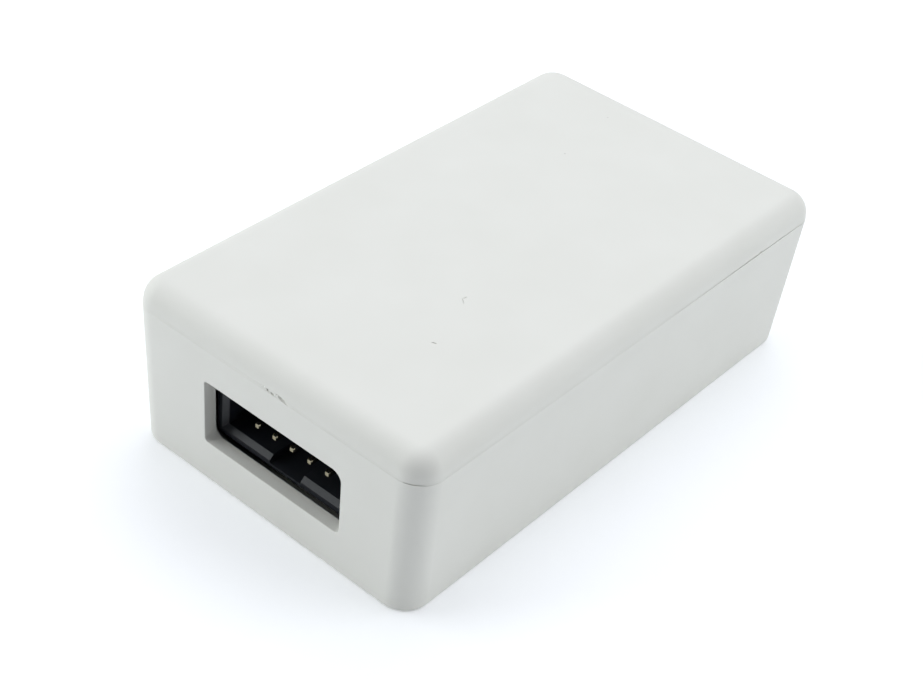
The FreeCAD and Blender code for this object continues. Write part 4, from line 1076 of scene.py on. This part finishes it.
profile = []
for step in range(7):
    angle = math.radians(90 * step / 6)
    profile.append((can_radius - 0.45 * MM * (1 - math.sin(angle)),
                    can_low.z + 0.45 * MM * (1 - math.cos(angle))))
neck_z = can_high.z - 0.85 * MM
for step in range(7):
    angle = math.radians(180 * step / 6)
    profile.append((can_radius - 0.17 * MM * (1 - math.cos(2 * angle)),
                    neck_z + NECK_DEPTH * (step / 3 - 1)))
profile += [(can_radius, can_high.z - 0.1 * MM), (can_radius - 0.1 * MM, can_high.z)]
can = shade_smooth(to_mesh(turned(profile, (can_centre.x, can_centre.y, 0), "Z", 56), "can"), 50)
mesh_piece("reservoir_can", can, can_aluminium, "board_assembly", "capacitor_can",
           ["reservoir_capacitor_can"])
foot_resin = moulded_resin("black_polyamide", "202124", "18191B", 0.4)
mesh_piece("reservoir_foot", eased("reservoir_capacitor_base", 0.06 * MM), foot_resin,
           "board_assembly", "capacitor_base", ["reservoir_capacitor_base"])
mesh_piece("reservoir_tags", eased("reservoir_capacitor_leads", 0.03 * MM), tinned_steel,
           "board_assembly", "tinned_lead", ["reservoir_capacitor_leads"])

# ---------- Small chip parts ----------
# A moulded tantalum with its positive end banded, ceramic capacitors, thick-film resistors and
# arrays, a resettable fuse and a ferrite bead, all ended in matt tin and soldered flat.
# Mustard-yellow resin with a fine orange-peel grain.
tantalum_resin = moulded_resin("yellow_tantalum_resin", "D9A640", "C99434", 0.45)
band_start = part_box("tantalum_capacitor_body")[1].y - 1.2 * MM
overprinted(tantalum_resin, "8A4A22", ("Y", "GREATER_THAN", band_start))
# The end caps are the dullest tin here: plated thick and fired, then wetted by the solder.
chip_tin = plated_metal("matt_tin_end", "C9C9C5", "B4B5B4", 0.42, 0.15 * MM, 0.15)
for node, material, slot in (("tantalum_capacitor_body", tantalum_resin, "tantalum_resin"),
                             ("ceramic_capacitor_bodies", moulded_resin("fired_titanate_ceramic",
                                                                        "B99A74", "A88860", 0.38,
                                                                        0.12 * MM),
                              "capacitor_ceramic"), ("chip_resistor_bodies",
                                                     moulded_resin("glass_over_thick_film",
                                                                   "1C1D22", "15161A", 0.2,
                                                                   0.3 * MM), "resistor_glaze"),
                             ("resistor_array_bodies", moulded_resin("array_glass_glaze", "22242C",
                                                                     "1A1B22", 0.2, 0.3 * MM),
                              "resistor_glaze"), ("resettable_fuse_body",
                                                  moulded_resin("green_fuse_resin", "2E6E4A",
                                                                "275E3F", 0.35, 0.2 * MM),
                                                  "fuse_resin"), ("ferrite_bead_body",
                                                                  moulded_resin("sintered_ferrite",
        "3A3836", "2E2C2B", 0.5, 0.12 * MM, 0.3), "ferrite")):
    mesh_piece("eased_" + node, eased(node, 0.06 * MM), material, "board_assembly", slot, [node])
for node in ("tantalum_capacitor_ends", "ceramic_capacitor_ends", "chip_resistor_ends",
             "resistor_array_ends", "resettable_fuse_ends", "ferrite_bead_ends"):
    mesh_piece("eased_" + node, eased(node, 0.04 * MM), chip_tin, "board_assembly", "tinned_lead",
               [node])

# ---------- Reflowed solder under the chip parts ----------
# Paste printed on each pad melts in an oven and climbs a little way up the tinned end, so a low
# sloping foot of solder stands out past each end of a chip part.
FOOT_HEIGHT = 0.3 * MM
FOOT_REACH = 0.22 * MM
FOOT_SLOPE = 0.72                # the foot's top, as a share of its width on the pad
feet_tree, given = node_tree("solder_feet", {"Height": "Float", "Slope": "Float",
                                             "Material": "Material"})
slope = add_node(feet_tree, "GeometryNodeMeshCone", {"Vertices": 4, "Radius Top": math.sqrt(2)},
                 {"Depth": given["Height"]})
lower_radius = add_node(feet_tree, "ShaderNodeMath", {"operation": "MULTIPLY", 1: math.sqrt(2)},
                        {0: given["Slope"]})
feet_tree.links.new(lower_radius.outputs[0], slope.inputs["Radius Bottom"])
squared = add_node(feet_tree, "GeometryNodeTransform", {"Rotation": (0, 0, math.radians(45))},
                   {"Geometry": slope.outputs[0]})
extent = add_node(feet_tree, "GeometryNodeInputNamedAttribute",
                  {"data_type": "FLOAT_VECTOR", "Name": "extent"})
placed = add_node(feet_tree, "GeometryNodeInstanceOnPoints",
                  links={"Points": given["Geometry"], "Instance": squared.outputs[0],
                         "Scale": extent.outputs[0]})
end_tree(feet_tree, placed.outputs[0], given["Material"])

foot_points, foot_extents = [], []
for bodies, ends, reach in (("ceramic_capacitor_bodies", "ceramic_capacitor_ends", FOOT_REACH),
                            ("chip_resistor_bodies", "chip_resistor_ends", FOOT_REACH),
                            ("resistor_array_bodies", "resistor_array_ends", 0.6 * FOOT_REACH),
                            ("resettable_fuse_body", "resettable_fuse_ends", FOOT_REACH),
                            ("ferrite_bead_body", "ferrite_bead_ends", FOOT_REACH)):
    centres = [(low + high) / 2 for low, high in solid_boxes(bodies)]
    for low, high in solid_boxes(ends):
        middle, half = (low + high) / 2, (high - low) / 2
        out = middle - min(centres, key=lambda centre: (centre - middle).length)
        axis = 1 if ends == "resistor_array_ends" or abs(out.y) > abs(out.x) else 0
        middle[axis] += math.copysign(reach / 2, out[axis])
        half[axis] += reach / 2
        half[1 - axis] += reach / 3
        foot_points.append((middle.x, middle.y, BOARD_BOTTOM - FOOT_HEIGHT))
        foot_extents += [half.x, half.y, 1.0]
feet_points = points_mesh(foot_points)
extents = feet_points.attributes.new("extent", "FLOAT_VECTOR", "POINT")
extents.data.foreach_set("vector", foot_extents)
feet_mesh = grown("solder_feet", feet_points, feet_tree,
                  {"Height": FOOT_HEIGHT, "Slope": FOOT_SLOPE, "Material": bright_solder})
mesh_piece("solder_feet", feet_mesh, bright_solder, "board_assembly", "solder")

# ---------- Cover ----------
# The shallow lid of the same ABS, rounded 2.6 mm over its top edge. A tongue under its rim fits
# the tray's rebate, and four hollow posts hold the board down. It has bowed up on the right.
cover_low, cover_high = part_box("cover")
COVER_TOP = cover_high.z
TOP_EDGE = 2.6 * MM
COVER_SKIN = 1.6 * MM
TONGUE_CLEARANCE = 0.1 * MM
COVER_DRAFT = 0.08 * MM
SEAM_BOW = 0.12 * MM
CORNER_GAP = 0.10 * MM
tongue_foot = cover_low.z
tongue = outline_at(PARTING, LIP + TONGUE_CLEARANCE)
tongue_corner = CORNER - LIP - TONGUE_CLEARANCE
inner = outline_at(PARTING, WALL)
inner_corner = CORNER - WALL
top_outline = (CASE_HALF[0] - COVER_DRAFT, CASE_HALF[1] - COVER_DRAFT)
rings = list(reversed(arc_rings(inner, 1.0 * MM, inner_corner, COVER_TOP - COVER_SKIN - 1.0 * MM, 0,
                                90, 6)))
rings += [ring(inner, inner_corner, tongue_foot + RIM_EDGE),
          ring((inner[0] + RIM_EDGE, inner[1] + RIM_EDGE), inner_corner, tongue_foot),
          ring((tongue[0] - 0.1 * MM, tongue[1] - 0.1 * MM), tongue_corner, tongue_foot),
          ring(tongue, tongue_corner, tongue_foot + 0.15 * MM),
          ring(tongue, tongue_corner, PARTING),
          ring((CASE_HALF[0] - RIM_EDGE, CASE_HALF[1] - RIM_EDGE), CORNER - RIM_EDGE, PARTING)]
rings += arc_rings(CASE_HALF, RIM_EDGE, CORNER, PARTING + RIM_EDGE, -60, 0, 3)
rings += arc_rings(top_outline, TOP_EDGE, CORNER - COVER_DRAFT, COVER_TOP - TOP_EDGE, 0, 90, 18)
lid = to_mesh(loft(rings), "lid")

CEILING = COVER_TOP - COVER_SKIN
CLAMP_FOOT = BOARD_TOP + 0.08 * MM
clamps = [turned([(2.5 * MM, CLAMP_FOOT), (2.6 * MM, CLAMP_FOOT + 0.1 * MM),
                  (2.66 * MM, CEILING - 0.4 * MM), (3.1 * MM, CEILING + 0.3 * MM)], (x, y, 0))
          for x, y in POST_PLACES]
crush_ribs = []
for side in (-1, 1):
    for y in (-20, 0, 20):
        x_pair = sorted((side * (tongue[0] - 0.2 * MM), side * (tongue[0] + 0.08 * MM)))
        crush_ribs.append(block((x_pair[0], (y - 0.5) * MM, tongue_foot + 0.2 * MM),
                                (x_pair[1], (y + 0.5) * MM, PARTING + 0.2 * MM)))
lid = joined(lid, clamps + crush_ribs, "UNION")
bores = [turned([(1.4 * MM, CLAMP_FOOT - 0.5 * MM), (1.4 * MM, CEILING - 0.8 * MM)], (x, y, 0))
         for x, y in POST_PLACES]


def seam_gap(stations):
    """A thin sliver of air along the cover's edge, through (inner point, outer point, height)."""
    foot = PARTING - 0.01 * MM
    return skinned([[(*inside, foot), (*outside, foot), (*outside, PARTING + rise),
                     (*inside, PARTING + rise)] for inside, outside, rise in stations])


# The long side has lifted between mid length and the rear; the front corner gapes by a hair.
bowed_seam = seam_gap([((tongue[0], y * MM), (CASE_HALF[0] + 0.5 * MM, y * MM),
                        0.01 * MM + share * SEAM_BOW) for y, share in ((-6, 0.0), (2, 0.18),
                                                                       (13, 0.6), (22, 1.0),
                                                                       (29, 0.85), (36, 0.35))])


def round_corner(angle, radius):
    """A point at a radius, in millimetres, round the centre of the front right-hand corner."""
    return (CASE_HALF[0] - CORNER + radius * MM * math.cos(math.radians(angle)),
            -CASE_HALF[1] + CORNER + radius * MM * math.sin(math.radians(angle)))


corner_gap = seam_gap([(round_corner(angle, 2.4), round_corner(angle, 3.7), share * CORNER_GAP)
                       for angle, share in ((-77, 0.6), (-66, 1.0), (-54, 1.0), (-42, 0.8),
                                            (-32, 0.3))])
side_nick = spindle((CASE_HALF[0], 23.1 * MM, PARTING + 0.15 * MM),
                    (CASE_HALF[0], 23.6 * MM, PARTING + 0.08 * MM), 0.26 * MM, (1, 0, 0), 40, 0.1)
top_scratches = [spindle((x * MM, y * MM, COVER_TOP), (end_x * MM, end_y * MM, COVER_TOP),
                         size * MM, (0, 0, 1), seed) for seed, (x, y, end_x, end_y,
                                                                size) in enumerate(((7.93, -20.27,
        8.5, -20.02, 0.13), (5.1, -12.15, 6.0, -12.95, 0.10), (5.3, -12.3, 5.4, -11.65, 0.09)), 20)]
lid = joined(lid, bores + [bowed_seam, corner_gap, side_nick] + pry_marks() + top_scratches,
             "DIFFERENCE")
mesh_piece("cover_moulding", shade_smooth(lid), abs_grey, "lid", "case_plastic", ["cover"])

# ---------- Burrs ----------
# Slivers of the cover's edge that the screwdriver raised. ABS turns white where it is strained;
# their near-white colour is also a painted highlight.
# The same plastic strained to a chalky white, made near-white as a painted highlight for the light
# the slivers catch from above.
strained_abs_with_painted_highlight = moulded_abs("strained_white_abs_painted_highlight", "FCFCF8", "F4F4EF")
burrs = bmesh.new()
for seed, (start, end, burr_size) in enumerate((((0.84, 0.42), (1.02, -0.24), 0.15),
                                                ((-0.66, 0.46), (-0.40, 0.20), 0.13),
                                                ((-0.95, 0.36), (-0.80, 0.24), 0.06)), 30):
    sunk = 1.25 * burr_size      # no sliver stands prouder than the wall
    sliver = spindle(on_seam(*start, sunk), on_seam(*end, sunk), burr_size * MM, (0, 1, 0), seed)
    burrs.from_mesh(to_mesh(sliver, "sliver"))
mesh_piece("raised_burrs", shade_smooth(to_mesh(burrs, "burrs")), strained_abs_with_painted_highlight, "lid",
           "case_plastic")
